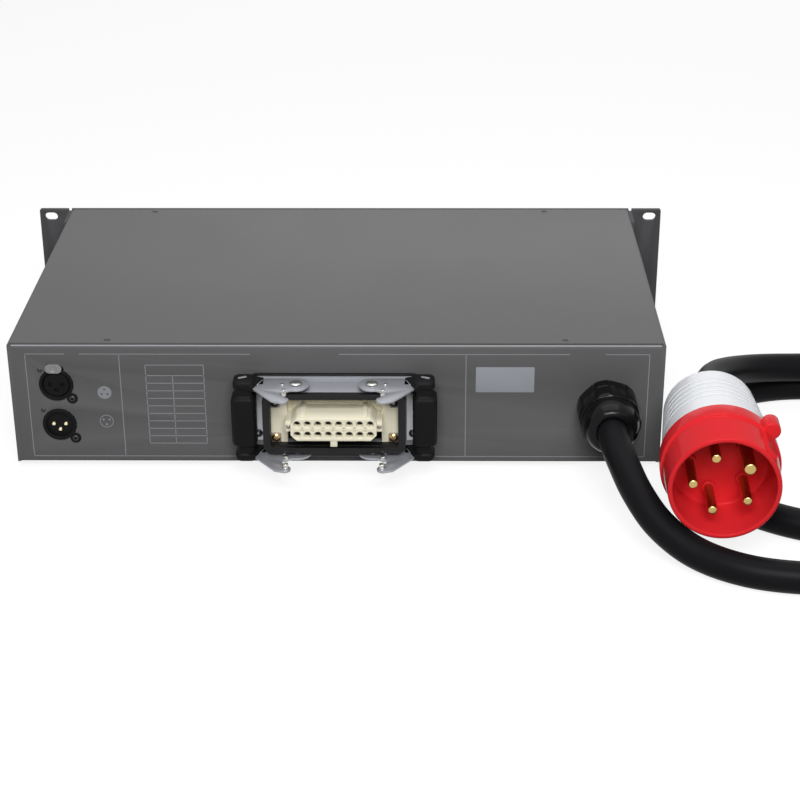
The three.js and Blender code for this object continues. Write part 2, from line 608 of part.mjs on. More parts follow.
// Three-phase lead: out of the gland, two loose loops on the floor, then up into its plug
const leadRoute = [
  [-179.5, 37.1, 46], [-179.8, 49.4, 45.8], [-183.6, 73.5, 41.9], [-190.3, 94.8, 33.4],
  [-202.3, 113.8, 22.1], [-222.5, 132.5, 13.1], [-251.8, 149.9, 10.5], [-292.5, 158.4, 10.3],
  [-333.3, 156.5, 10.2], [-371.7, 146.1, 10.2], [-407.3, 127.5, 10.2], [-437, 100.9, 10.2],
  [-458.1, 67.1, 10.2], [-467.3, 28.8, 10.2], [-463.5, -10.5, 10.2], [-447.2, -47, 10.2],
  [-421.1, -77.1, 10.2], [-387.6, -98.6, 10.2], [-348.9, -109.1, 10.2], [-308.3, -107, 10.2],
  [-272.6, -91, 10.2], [-245.1, -61.8, 10.2], [-230.9, -24.5, 10.2], [-231.8, 15.3, 10.2],
  [-246.9, 52.4, 10.2], [-274.4, 81.9, 10.2], [-310.1, 98.6, 10.2], [-349.4, 99.5, 10.2],
  [-386.5, 85.1, 10.4], [-415.1, 58.1, 12], [-432.6, 21.5, 16.2], [-435.2, -15.8, 21.7],
  [-422.2, -53, 26.9], [-393.8, -83.1, 29.5], [-357.9, -97.6, 29.6], [-317.5, -95.7, 31.3],
  [-282.2, -77.9, 38.2], [-257.3, -46.7, 48.1], [-245.5, -8.6, 53.8], [-243.8, 7.9, 54.4],
];
const leadCurve = new THREE.CatmullRomCurve3(leadRoute.map((p) => new THREE.Vector3(...p)));

function makeLead() {
  const section = new THREE.Shape();
  section.absarc(0, 0, cable.radius, 0, 2 * Math.PI);
  const steps = Math.round(leadCurve.getLength() / cable.pitch);
  return solidOf(new THREE.ExtrudeGeometry(section, {
    steps, extrudePath: leadCurve, curveSegments: cable.halfSides, bevelEnabled: false,
  }));
}

// Plug, in a frame of its own: the mouth at the origin facing +Y, the lead at -Y
const plugGroup = new THREE.Group();
plugGroup.position.set(plug.x, plug.y, plug.z);
plugGroup.rotation.z = -radians(plug.yaw);
leadPieces.add(plugGroup);
const onAxis = [0, 0];

function makeShroud() {
  const shellPart = turned('y', [[0, -plug.collarEnd], [plug.collar, -plug.collarEnd],
    [plug.collar, -plug.collarStart - plug.lipIn], [plug.collar - plug.lipIn, -plug.collarStart],
    [plug.rim + plug.lipIn, -plug.collarStart], [plug.rim, 0], [0, 0]], onAxis, facets.large);
  const cup = bar('y', plug.rim - plug.wall, -plug.cup + plug.wall, overrun, onAxis, facets.large);
  const angle = radians(plug.lugAngle);
  const turn = (solid) => solid.rotate([0, -plug.lugAngle, 0]);
  const lug = bar('y', plug.lugRadius, -plug.collarEnd, -plug.collarStart,
    [plug.lugReach * Math.cos(angle), plug.lugReach * Math.sin(angle)], facets.small);
  const key = turn(block([plug.rim - plug.wall / 2, plug.rim + plug.keyHigh],
    [-plug.collarStart - plug.lipIn, -plug.wall], around(0, plug.keyWide)));
  const holes = plugPins().map(({ at, radius }) => bar('y', radius + seat,
    -plug.collarEnd + plug.wall, -plug.cup + plug.wall + overrun, at, facets.small));
  return cut(join(cut(shellPart, cup), lug, cut(key, cup)), ...holes);
}

function plugPins() {
  return Array.from({ length: plug.pins }, (_, i) => {
    const angle = radians(plug.earthAngle + i * 360 / plug.pins);
    return {
      at: [plug.pinCircle * Math.cos(angle), plug.pinCircle * Math.sin(angle)],
      radius: i === 0 ? plug.earthRadius : plug.pinRadius,
      name: i === 0 ? 'plug_pin_earth' : `plug_pin_${i}`,
    };
  });
}

// White rear body: tapers backwards, with a band of turned grooves before its rounded shoulder
function makePlugBody() {
  const start = -plug.collarEnd - seat;
  const taper = (y) => THREE.MathUtils.mapLinear(y, start, -plug.back, plug.bodyStart, plug.bodyEnd);
  const profile = [[0, start], [plug.bodyStart, start]];
  const ribsFrom = -plug.back + plug.shoulderIn + plug.ribs * plug.ribPitch;
  for (let i = 0; i < plug.ribs; i += 1) {
    const y = ribsFrom - i * plug.ribPitch;
    profile.push([taper(y), y], [taper(y) - plug.ribDeep, y - plug.ribWide / 2],
      [taper(y - plug.ribWide), y - plug.ribWide]);
  }
  const shoulder = -plug.back + plug.shoulderIn;
  profile.push([taper(shoulder), shoulder],
    [plug.bodyEnd - plug.shoulderIn / 3, -plug.back + plug.shoulderIn / 3],
    [plug.bodyEnd - plug.shoulderIn, -plug.back], [0, -plug.back]);
  return turned('y', profile, onAxis, facets.large);
}

function makePlugNut() {
  const from = -plug.back - seat;
  return prism('y', hexagon(2 * plug.nutRadius, 0, 0, facets.small), from - plug.nutLong, from);
}

function makePlugPin({ at, radius }) {
  const back = -plug.collarEnd + plug.wall + seat;
  const tip = back + plug.pinLong;
  const profile = [[0, back], [radius, back], [radius, tip - radius],
    [radius * tipShare, tip - radius * (1 - tipShare)], [0, tip]];
  return turned('y', profile, at, facets.small);
}

piece('power_cable', makeLead(), 'rubber', leadPieces);
piece('plug_shroud', makeShroud(), 'red', plugGroup);
piece('plug_body', makePlugBody(), 'white', plugGroup);
piece('plug_gland_nut', makePlugNut(), 'white', plugGroup);
plugPins().forEach((pin) => piece(pin.name, makePlugPin(pin), 'brass', plugGroup));

// Front: breakers on their rail, display window and menu buttons
const noseY = frontY - rack.thick - breaker.proud;
const shoulderY = noseY + breaker.noseDeep;
const railY = shoulderY + breaker.bodyDeep;
const breakerPlaces = Array.from({ length: breaker.count }, (_, i) =>
  breakerX + (i - (breaker.count - 1) / 2) * breaker.pitch);
const toggleY = noseY + toggle.sink;

function makeBreakerBank() {
  const [low, high] = [insideFloor + breaker.room, chassisTop - breaker.room];
  const [noseLow, noseHigh] = around(breakerZ, breaker.noseHigh);
  const side = outlineOf([[railY, low], [railY, high], [shoulderY + breaker.bevel, high],
    [shoulderY, high - breaker.bevel], [shoulderY, noseHigh], [noseY, noseHigh], [noseY, noseLow],
    [shoulderY, noseLow], [shoulderY, low + breaker.bevel], [shoulderY + breaker.bevel, low]]);
  const width = breaker.count * breaker.pitch;
  const bank = prism('x', side, ...around(breakerX, width));
  const grooves = breakerPlaces.slice(1).map((x) => block(
    around(x - breaker.pitch / 2, breaker.groove), [noseY - overrun, noseY + breaker.groove],
    [noseLow - overrun, noseHigh + overrun]));
  const slots = breakerPlaces.map((x) => block(around(x, breaker.slotWide),
    [noseY - overrun, noseY + breaker.slotDeep], around(breakerZ, breaker.slotHigh)));
  const [railLow, railHigh] = around(breakerZ, rail.high + 2 * seat);
  const railRoom = block(around(breakerX, width + overrun),
    [railY - rail.sheet - seat, railY + overrun], [railLow, railHigh]);
  return cut(bank, ...grooves, ...slots, railRoom);
}

// Toggle outline from the side: a round hub with a tapered finger, tilted up at rest
function makeToggle(x) {
  const shape = new THREE.Shape();
  const finger = outlineOf([[0, -toggle.root], [0, toggle.root],
    [-toggle.reach, toggle.tip], [-toggle.reach, -toggle.tip]]);
  const span = around(0, toggle.wide);
  shape.absarc(0, 0, toggle.hub, 0, 2 * Math.PI);
  const upright = join(prism('x', shape, ...span, facets.small / 2), prism('x', finger, ...span));
  return upright.rotate([-toggle.tilt, 0, 0]).translate([x, toggleY, breakerZ]);
}

function makeRail() {
  const [low, high] = around(breakerZ, rail.high);
  const lip = rail.lip;
  const t = rail.sheet;
  const shape = outlineOf([[railY - t, low], [railY, low], [railY, low + lip], [railY + rail.deep, low + lip],
    [railY + rail.deep, high - lip], [railY, high - lip], [railY, high], [railY - t, high],
    [railY - t, high - lip - t], [railY + rail.deep - t, high - lip - t],
    [railY + rail.deep - t, low + lip + t], [railY - t, low + lip + t]]);
  const length = breaker.count * breaker.pitch + 2 * rail.spare;
  const bed = prism('x', shape, ...around(breakerX, length));
  const legs = [-1, 1].map((side) => {
    const x = breakerX + side * (length / 2 - rail.spare / 2);
    const post = block(around(x, rail.spare / 2), [railY + rail.deep - overrun / 2, railY + rail.deep + t],
      [insideFloor, breakerZ]);
    const toe = block(around(x, rail.spare / 2), [railY + rail.deep, railY + rail.deep + rail.leg],
      [insideFloor, insideFloor + t]);
    return join(post, toe);
  });
  return join(bed, ...legs);
}

function makeButton(x) {
  const back = frontY + seat;
  const r = button.radius;
  const front = frontY - rack.thick - button.proud;
  return turned('y', [[0, front], [r - seat * 2, front], [r, front + seat * 2], [r, back],
    [button.flange, back], [button.flange, back + button.flangeThick],
    [r / 2, back + button.flangeThick], [r / 2, back + button.flangeThick + button.tail],
    [0, back + button.flangeThick + button.tail]], [x, buttonZ], facets.round);
}

function makeControlBoard() {
  const back = frontY + controlBoard.stand;
  const [x0, x1] = around(displayAt[0], controlBoard.long);
  const [z0, z1] = [insideFloor + controlBoard.room, chassisTop - controlBoard.room];
  const plate = block([x0, x1], [back, back + controlBoard.thick], [z0, z1]);
  const inset = controlBoard.postInset;
  const posts = [x0 + inset, x1 - inset].flatMap((x) => [z0 + inset, z1 - inset].map((pz) =>
    bar('y', controlBoard.post, frontY, back + overrun, [x, pz], facets.small)));
  const touch = frontY + seat + button.flangeThick + button.tail + button.travel + seat;
  const switches = buttonPlaces().map((x) => block(around(x, 2 * controlBoard.post),
    [touch, back + overrun], around(buttonZ, 2 * controlBoard.post)));
  const display = block(around(displayAt[0], panelWindow.long - 2 * controlBoard.post),
    [frontY - rack.thick + panelWindow.thick + seat * 2, back + overrun],
    around(displayAt[1], panelWindow.high - controlBoard.post));
  return join(plate, ...posts, ...switches, display);
}

piece('breaker_bank', makeBreakerBank(), 'light');
breakerPlaces.forEach((x, i) => piece(`breaker_toggle_${i + 1}`, makeToggle(x), 'black'));
piece('din_rail', makeRail(), 'zinc');
piece('display_window', prism('y', roundedRect(panelWindow.long, panelWindow.high, panelWindow.corner,
  ...displayAt), frontY - rack.thick, frontY - rack.thick + panelWindow.thick), 'lens');
buttonPlaces().forEach((x, i) => piece(`menu_button_${i + 1}`, makeButton(x), 'black'));
piece('control_board', makeControlBoard(), 'board');

// Inside: cooling fan, heatsink, power board, chokes, transformer and mains terminals
const fanOuterX = -chassisHalf;
const fanZ = insideFloor + fan.size / 2 + (chassisTop - insideFloor - fan.size) / 2;
const fanAt = [fan.y, fanZ];
const bossX = fanOuterX + fan.deep - fan.boss / 2;

function makeFanFrame() {
  const span = [fanOuterX, fanOuterX + fan.deep];
  const frame = cut(prism('x', roundedRect(fan.size, fan.size, fan.corner, ...fanAt), ...span),
    bar('x', fan.duct, span[0] - overrun, span[1] + overrun, fanAt, facets.large));
  const boss = bar('x', fan.boss, bossX, span[1], fanAt);
  const spokes = Array.from({ length: fan.spokes }, (_, i) => {
    const arm = block([bossX + fan.spoke, span[1]], [fan.boss - overrun, fan.duct + overrun],
      around(0, fan.spoke));
    return arm.rotate([fan.spokeTurn + i * 360 / fan.spokes, 0, 0]).translate([0, ...fanAt]);
  });
  const feet = block(span, around(fan.y, fan.size - 2 * fan.corner),
    [insideFloor, fanZ - fan.size / 2 + overrun]);
  return join(frame, boss, ...spokes, feet);
}

function makeFanRotor() {
  const hubEnd = bossX - fan.run / 2;
  const hubStart = hubEnd - fan.hubLong + fan.spoke;
  const hub = bar('x', fan.hub, hubStart, hubEnd, fanAt);
  const blades = Array.from({ length: fan.blades }, (_, i) => {
    const flat = block(around(0, fan.bladeLong), [fan.hub - overrun, fan.blade], around(0, fan.bladeThick));
    return flat.rotate([0, fan.pitch, 0]).rotate([i * 360 / fan.blades, 0, 0])
      .translate([(hubStart + hubEnd) / 2, ...fanAt]);
  });
  const sweep = bar('x', fan.blade, hubStart, hubEnd, fanAt, facets.large);
  return join(hub, ...blades.map((blade) => blade.intersect(sweep)));
}

function makeHeatsink() {
  const start = fanOuterX + fan.deep + sink.fanGap;
  const span = [start, start + sink.long];
  const [y0, y1] = around(sink.y, sink.wide);
  const base = block(span, [y0, y1], [insideFloor, insideFloor + sink.base]);
  const step = (sink.wide - sink.fin) / (sink.fins - 1);
  const fins = Array.from({ length: sink.fins }, (_, i) => block(span,
    [y0 + i * step, y0 + i * step + sink.fin], [insideFloor, insideFloor + sink.high]));
  return join(base, ...fins);
}

function makePowerBoard() {
  const board = powerBoard;
  const top = insideFloor + board.stand;
  const [x0, x1] = [shellHalf - board.inset - board.long, shellHalf - board.inset];
  const [y0, y1] = around(board.y, board.wide);
  const plate = block([x0, x1], [y0, y1], [top, top + board.thick]);
  const posts = [x0 + board.postInset, x1 - board.postInset].flatMap((x) =>
    [y0 + board.postInset, y1 - board.postInset].map((y) =>
      bar('z', board.post, insideFloor, top + overrun / 2, [x, y], facets.small)));
  const step = board.long / board.relays;
  const relays = Array.from({ length: board.relays }, (_, i) => block(
    around(x0 + (i + 1 / 2) * step, board.relayWide), around(board.y, board.relayLong),
    [top + board.thick / 2, top + board.thick + board.relayHigh]));
  return join(plate, ...posts, ...relays);
}

function makeChoke(x, y) {
  const points = Array.from({ length: facets.tiny + 1 }, (_, i) => {
    const angle = 2 * Math.PI * i / facets.tiny;
    return [choke.ring + choke.tube * Math.cos(angle), insideFloor + choke.tube * (1 + Math.sin(angle))];
  });
  return turned('z', points, [x, y], facets.round);
}

function makeTransformer() {
  const t = transformer;
  const x = shellHalf - t.inset;
  const core = block(around(x, t.coreLong), around(t.y, t.coreWide), [insideFloor, insideFloor + t.coreHigh]);
  const bobbin = block(around(x, t.bobbinLong), around(t.y, t.bobbin),
    around(insideFloor + t.coreHigh / 2, t.coreHigh / 2));
  return join(core, bobbin);
}

function makeTerminals() {
  const length = terminals.poles * terminals.pitch;
  const [x0, x1] = around(terminals.inset - shellHalf, length);
  const body = block([x0, x1], around(terminals.y, terminals.wide),
    [insideFloor, insideFloor + terminals.high]);
  const ledges = Array.from({ length: terminals.poles }, (_, i) => bar('z', terminals.bore,
    insideFloor + terminals.high / 2, insideFloor + terminals.high + overrun,
    [x0 + (i + 1 / 2) * terminals.pitch, terminals.y], facets.small));
  return cut(body, ...ledges);
}

piece('fan_frame', makeFanFrame(), 'black');
piece('fan_rotor', makeFanRotor(), 'black');
piece('heatsink', makeHeatsink(), 'steel');
piece('power_board', makePowerBoard(), 'board');
for (let row = 0; row < choke.rows; row += 1) {
  for (let column = 0; column < choke.columns; column += 1) {
    piece(`choke_${row * choke.columns + column + 1}`,
      makeChoke(choke.inset - shellHalf + column * choke.pitchX, choke.y - row * choke.pitchY), 'copper');
  }
}
piece('transformer', makeTransformer(), 'steel');
piece('mains_terminals', makeTerminals(), 'cream');

// The origin lies under the middle of the pack itself, without its lead
const dimmerPack = new THREE.Group();
dimmerPack.add(ownPieces, leadPieces);
const reach = new THREE.Box3().setFromObject(ownPieces);
dimmerPack.position.y = -(reach.min.y + reach.max.y) / 2;
dimmerPack.updateMatrixWorld(true);

export default dimmerPack;
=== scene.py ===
import math

import bmesh
import bpy
from mathutils import Matrix, Vector


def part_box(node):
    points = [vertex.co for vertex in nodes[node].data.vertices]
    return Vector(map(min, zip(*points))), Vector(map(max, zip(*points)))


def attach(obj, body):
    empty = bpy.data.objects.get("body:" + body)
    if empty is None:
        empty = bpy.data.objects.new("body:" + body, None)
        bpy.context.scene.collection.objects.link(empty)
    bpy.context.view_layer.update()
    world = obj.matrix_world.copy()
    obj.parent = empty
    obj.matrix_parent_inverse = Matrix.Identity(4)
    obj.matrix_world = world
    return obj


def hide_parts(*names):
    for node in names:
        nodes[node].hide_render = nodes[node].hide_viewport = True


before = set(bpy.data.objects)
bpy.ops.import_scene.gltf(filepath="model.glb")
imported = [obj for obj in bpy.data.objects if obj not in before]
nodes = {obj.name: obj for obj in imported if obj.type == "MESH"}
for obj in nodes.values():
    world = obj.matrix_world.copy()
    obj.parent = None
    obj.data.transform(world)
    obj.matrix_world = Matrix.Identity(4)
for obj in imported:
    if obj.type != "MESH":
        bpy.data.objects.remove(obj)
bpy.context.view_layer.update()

mm = 0.001
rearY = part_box("chassis")[1].y  # the rear panel's outer face
print("frame:", len(nodes), "nodes")


def at(x, y, z):
    # millimetres from the pack's middle, the rear panel's outer face and the floor
    return Vector((x * mm, rearY + y * mm, z * mm))


def linear(red, green, blue):
    # a colour read off the photograph, 0 to 255, as the shader wants it
    steps = [v / 255 for v in (red, green, blue)]
    return tuple(v / 12.92 if v <= 0.04045 else ((v + 0.055) / 1.055) ** 2.4 for v in steps) + (1.0,)


ahead = Vector((0, 1, 0))
upward = Vector((0, 0, 1))


def polar(radius, degrees):
    a = math.radians(degrees)
    return radius * math.cos(a), radius * math.sin(a)


def scaled(colour, factor):
    return tuple(min(1.0, v * factor) for v in colour[:3]) + (1.0,)


# Camera, as solved from the corners of the case, the panel and the printed frame
shot = {
    "place": (-57.13, 1117.98, 591.44), "lens": 84.33, "down": 25.783, "aside": 0.779,
    "roll": 0.251,
}


def makeCamera():
    down, aside, roll = (math.radians(shot[key]) for key in ("down", "aside", "roll"))
    flat = math.cos(down)
    forward = Vector((math.sin(aside) * flat, -math.cos(aside) * flat, -math.sin(down)))
    level = Vector((-math.cos(aside), -math.sin(aside), 0))
    upright = level.cross(forward)
    right = math.cos(roll) * level - math.sin(roll) * upright
    up = math.sin(roll) * level + math.cos(roll) * upright
    data = bpy.data.cameras.new("camera")
    data.lens = shot["lens"]
    camera = bpy.data.objects.new("camera", data)
    bpy.context.scene.collection.objects.link(camera)
    turn = Matrix((right, up, -forward)).transposed().to_4x4()
    camera.matrix_world = Matrix.Translation(at(*shot["place"])) @ turn
    bpy.context.scene.camera = camera


makeCamera()


class Wire:
    # one socket of a node tree; sums and products of wires add Math nodes
    def __init__(self, tree, socket):
        self.tree = tree
        self.socket = socket

    def node(self, kind, values=None, out=0, **settings):
        made = self.tree.nodes.new(kind)
        for name, value in settings.items():
            setattr(made, name, value)
        for key, value in (values or {}).items():
            if isinstance(value, Wire):
                self.tree.links.new(value.socket, made.inputs[key])
            else:
                made.inputs[key].default_value = value
        return Wire(self.tree, made.outputs[out])

    def maths(self, operation, first, second=0.0):
        return self.node("ShaderNodeMath", {0: first, 1: second}, operation=operation)

    def __add__(self, other):
        return self.maths("ADD", self, other)

    def __radd__(self, other):
        return self.maths("ADD", other, self)

    def __sub__(self, other):
        return self.maths("SUBTRACT", self, other)

    def __rsub__(self, other):
        return self.maths("SUBTRACT", other, self)

    def __mul__(self, other):
        return self.maths("MULTIPLY", self, other)

    def __rmul__(self, other):
        return self.maths("MULTIPLY", other, self)

    def __truediv__(self, other):
        return self.maths("DIVIDE", self, other)

    def __gt__(self, other):
        return self.maths("GREATER_THAN", self, other)

    def __lt__(self, other):
        return self.maths("LESS_THAN", self, other)

    def mixed(self, first, second):
        # between two colours, by this wire
        return self.node("ShaderNodeMix", {0: self, 6: first, 7: second}, out=2, data_type="RGBA")


def startFinish(name, **looks):
    # a material whose constants sit on the shader's own sockets
    material = bpy.data.materials.new(name)
    material.use_nodes = True
    tree = material.node_tree
    shader = tree.nodes["Principled BSDF"]
    sockets = {"metal": "Metallic", "specular": "Specular IOR Level", "coat": "Coat Weight",
               "coatRough": "Coat Roughness"}
    for key, value in looks.items():
        shader.inputs[sockets[key]].default_value = value
    return material, Wire(tree, None), shader


def feed(wire, shader, socket):
    wire.tree.links.new(wire.socket, shader.inputs[socket])


def finish(name, rgb, rough, grain, mottle, patch, spread=0.08, stretch=(1, 1, 1), **looks):
    # grain is (size, height) in mm of the fine relief, patch the size in mm of the slow variation
    material, tree, shader = startFinish(name, **looks)
    colour = linear(*rgb)
    where = tree.node("ShaderNodeTexCoord", out="Object")
    where = tree.node("ShaderNodeMapping", {"Vector": where, "Scale": stretch})
    scales = [{"Vector": where, "Scale": 1 / (size * mm), "Detail": detail}
              for size, detail in ((patch, 5.0), (grain[0], 2.0))]
    slow, fine = (tree.node("ShaderNodeTexNoise", values) for values in scales)
    base = (slow * 0.7 + fine * 0.3).mixed(scaled(colour, 1 - mottle), scaled(colour, 1 + mottle))
    feed(base, shader, "Base Color")
    feed(rough - spread / 2 + slow * spread, shader, "Roughness")
    bump = tree.node("ShaderNodeBump", {"Height": fine, "Distance": grain[1] * mm, "Strength": 0.6})
    feed(bump, shader, "Normal")
    return material


def groovedFinish(name, colour, grooveShade, rough):
    # a plain moulding with painted shade in its grooves: darker where the mesh says it has a groove
    material, tree, shader = startFinish(name, specular=0.3)
    deep = tree.node("ShaderNodeAttribute", out="Fac", attribute_name="groove")
    feed(deep.mixed(colour, grooveShade), shader, "Base Color")
    feed(rough + deep * 0.2, shader, "Roughness")
    return material


def boardFinish(name, colour, pad):
    # green lacquer over copper tracks, with a grid of tinned pads
    material, tree, shader = startFinish(name, specular=0.4)
    where = tree.node("ShaderNodeTexCoord", out="Object")
    tracks = tree.node("ShaderNodeTexVoronoi", {"Vector": where, "Scale": 160.0}, distance="MANHATTAN")
    grid = {"Vector": where, "Scale": 1 / (4.2 * mm), "Randomness": 0.15}
    pads = tree.node("ShaderNodeTexVoronoi", grid)
    tinned = pads < 0.16
    track = (tracks < 0.42) * 0.6
    base = tinned.mixed(track.mixed(colour, scaled(colour, 1.7)), pad)
    feed(base, shader, "Base Color")
    feed(tinned * 0.9, shader, "Metallic")
    feed(0.45 - tinned * 0.15, shader, "Roughness")
    bump = tree.node("ShaderNodeBump", {"Height": tinned + track, "Distance": 0.05 * mm})
    feed(bump, shader, "Normal")
    return material


def windingFinish(name, colour):
    # enamelled wire laid side by side
    material, tree, shader = startFinish(name, metal=0.85, coat=0.5, coatRough=0.2)
    where = tree.node("ShaderNodeTexCoord", out="Object")
    wave = {"Vector": where, "Scale": 260.0, "Distortion": 3.0, "Detail": 1.0}
    turns = tree.node("ShaderNodeTexWave", wave)
    feed(turns.mixed(scaled(colour, 0.45), scaled(colour, 1.25)), shader, "Base Color")
    feed(0.28 + turns * 0.14, shader, "Roughness")
    feed(tree.node("ShaderNodeBump", {"Height": turns, "Distance": 0.5 * mm}), shader, "Normal")
    return material


finishes = {
    # key: what the slot says, and the material
    "paint": ("case_grey", finish("case_paint", (92, 92, 93), 0.5, (0.5, 0.03), 0.04, 60,
        specular=0.14)),
    # edge: the case paint made lighter, as a painted highlight on the panel's top bend
    "edge": ("case_grey", finish("lit_bend", (158, 159, 162), 0.4, (0.5, 0.02), 0.03, 60,
        specular=0.2)),
    "panel": ("panel_grey", finish("panel_paint", (74, 74, 76), 0.5, (0.5, 0.03), 0.04, 60,
        specular=0.14)),
    "cast": ("cast_grey", finish("cast_alloy", (146, 148, 154), 0.52, (0.9, 0.05), 0.04, 25,
        metal=0.2, specular=0.3)),
    # flange: the cast alloy made far lighter, as painted light on the flange strips that the levers and
    # grips leave in shade
    "flange": ("cast_grey", finish("flange_alloy", (240, 240, 244), 0.5, (0.9, 0.03), 0.04, 25,
        specular=0.3)),
    "zinc": ("zinc", finish("zinc_plate", (160, 162, 168), 0.36, (0.35, 0.01), 0.08, 9, 0.16,
        metal=0.5, specular=0.3)),
    "silver": ("silver", finish("polished_nickel", (190, 189, 186), 0.2, (0.4, 0.01), 0.06, 6,
        0.14, metal=0.95)),
    "pewter": ("silver", finish("dull_nickel", (128, 126, 126), 0.38, (0.4, 0.01), 0.06, 6, 0.14,
        metal=0.6)),
    # gilt: gold-plated pins made near white, partly their own gold and partly a painted highlight
    "gilt_highlight": ("brass", finish("gilt_pin", (240, 228, 190), 0.24, (0.3, 0.01), 0.05, 6, 0.1, metal=0.6)),
    "brass": ("brass", finish("brass", (192, 164, 106), 0.24, (0.3, 0.01), 0.08, 6, 0.14, metal=1.0)),
    "steel": ("steel", finish("dark_screw", (58, 58, 62), 0.36, (0.3, 0.01), 0.1, 5, 0.14, metal=0.85)),
    "aluminium": ("steel", finish("aluminium", (168, 170, 173), 0.4, (0.5, 0.02), 0.07, 20, 0.14,
        (0.06, 1, 1), metal=0.9)),
    "black": ("black_plastic", finish("moulded_black", (20, 20, 21), 0.46, (0.7, 0.05), 0.12, 18,
        0.12, specular=0.07)),
    "nylon": ("black_plastic", finish("nylon_black", (12, 12, 13), 0.17, (3.0, 0.008), 0.12, 15,
        0.05, specular=0.13)),
    "cable": ("rubber", finish("cable_sheath", (19, 19, 21), 0.4, (1.2, 0.03), 0.14, 40, 0.1,
        specular=0.05)),
    "rubber": ("rubber", finish("seal_rubber", (20, 20, 21), 0.4, (0.8, 0.03), 0.12, 12, 0.1,
        specular=0.22)),
    "cream": ("cream_plastic", finish("cream_moulding", (233, 227, 204), 0.46, (0.8, 0.03), 0.04,
        14, specular=0.3)),
    "earth": ("zinc", finish("earth_plate", (150, 140, 134), 0.4, (0.6, 0.02), 0.1, 8, metal=0.7)),
    "red": ("red_plastic", finish("red_moulding", (210, 40, 46), 0.13, (4.0, 0.005), 0.04, 30,
        0.05, specular=0.04)),
    "white": ("white_plastic", finish("white_moulding", (222, 225, 229), 0.34, (2.0, 0.02), 0.02,
        25, specular=0.3)),
    # grooved: the white moulding with a dark colour as painted shade in the sleeve's grooves
    "grooved": ("white_plastic", groovedFinish("grooved_moulding", linear(222, 224, 228),
        linear(48, 50, 54), 0.34)),
    "light": ("light_plastic", finish("light_moulding", (208, 208, 204), 0.42, (0.9, 0.03), 0.03,
        20, specular=0.4)),
    "ink": ("light_plastic", finish("print_ink", (136, 137, 142), 0.6, (0.4, 0.01), 0.06, 12,
        specular=0.2)),
    "plate": ("light_plastic", finish("bare_plate", (138, 141, 147), 0.44, (0.5, 0.01), 0.03, 20,
        specular=0.3)),
    "lens": ("lens", finish("window_lens", (46, 10, 12), 0.1, (6.0, 0.01), 0.1, 30, 0.04, coat=0.6,
        coatRough=0.03)),
    "board": ("board_green", boardFinish("circuit_board", linear(24, 92, 52), linear(196, 190, 170))),
    "copper": ("copper", windingFinish("enamelled_copper", linear(176, 96, 44))),
}
print("finishes:", len(finishes))


def linked(name, data):
    made = bpy.data.objects.new(name, data)
    bpy.context.scene.collection.objects.link(made)
    return made


def baked(obj, *helpers):
    # the object's mesh with its modifiers as a plain mesh; the object and its helpers go
    bpy.context.view_layer.update()
    mesh = bpy.data.meshes.new_from_object(obj.evaluated_get(bpy.context.evaluated_depsgraph_get()))
    for done in (obj, *helpers):
        bpy.data.objects.remove(done)
    return mesh


def softened(bm, width, steps=2, angle=40):
    # rounds every edge that turns more than the angle
    mesh = bpy.data.meshes.new("softened")
    bm.to_mesh(mesh)
    bm.free()
    if not width:
        return mesh
    holder = linked("softened", mesh)
    bevel = holder.modifiers.new("bevel", "BEVEL")
    bevel.width = width * mm
    bevel.segments = steps
    bevel.limit_method = "ANGLE"
    bevel.angle_limit = math.radians(angle)
    bevel.use_clamp_overlap = True
    return baked(holder)


def addMesh(name, mesh, look, stands=(), body="case", smooth=35):
    mesh.shade_smooth()
    mesh.set_sharp_from_angle(angle=math.radians(smooth))
    mesh.materials.clear()
    slot, material = finishes[look]
    mesh.materials.append(material)
    made = linked(name, mesh)
    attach(made, body)
    if stands:
        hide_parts(*stands)


def addPiece(name, bm, look, stands=(), body="case", width=0.0, steps=2, angle=40, smooth=35):
    # width rounds the edges, in mm
    addMesh(name, softened(bm, width, steps, angle), look, stands, body, smooth)


def skin(rings):
    # joins rings of points into a closed surface, capped at both ends; a ring of one point is a tip
    bm = bmesh.new()
    made = [[bm.verts.new(p) for p in ring] for ring in rings]
    for low, high in zip(made, made[1:]):
        count = max(len(low), len(high))
        for i in range(count):
            j = (i + 1) % count
            corners = [low[i % len(low)], low[j % len(low)], high[j % len(high)], high[i % len(high)]]
            corners = [v for k, v in enumerate(corners) if v not in corners[:k]]
            if len(corners) > 2:
                bm.faces.new(corners)
    for end in (made[0], made[-1]):
        if len(end) > 2:
            bm.faces.new(end)
    bmesh.ops.recalc_face_normals(bm, faces=bm.faces)
    return bm


def filleted(points, steps):
    # a line of (a, b, radius) points with each corner rounded by its radius
    result = []
    for i, point in enumerate(points):
        here = Vector(point[:2])
        radius = point[2] if len(point) > 2 else 0
        if not radius or i in (0, len(points) - 1):
            result.append(here)
            continue
        before = Vector(points[i - 1][:2]) - here
        after = Vector(points[i + 1][:2]) - here
        half = before.angle(after) / 2
        back = min(radius / math.tan(half), before.length / 2, after.length / 2)
        start, end = here + before.normalized() * back, here + after.normalized() * back
        for k in range(steps + 1):
            t = k / steps
            result.append(start * (1 - t) ** 2 + here * 2 * t * (1 - t) + end * t * t)
    return result


def turned(profile, centre, sides, axis=ahead, steps=4):
    # a profile of (radius, place, fillet) in mm turned about an axis through the centre; it is closed
    # on the axis, unless it ends where it starts
    if profile[0] != profile[-1]:
        first, last = ([(0, end[1])] if end[0] else [] for end in (profile[0], profile[-1]))
        profile = first + profile + last
    side = axis.orthogonal().normalized()
    other = axis.cross(side)
    rings = []
    for radius, place in filleted(profile, steps):
        middle = centre + axis * place * mm
        if radius < 1e-6:
            rings.append([middle])
        else:
            turns = (2 * math.pi * i / sides for i in range(sides))
            rings.append([middle + (side * math.cos(a) + other * math.sin(a)) * radius * mm
                          for a in turns])
    return skin(rings)


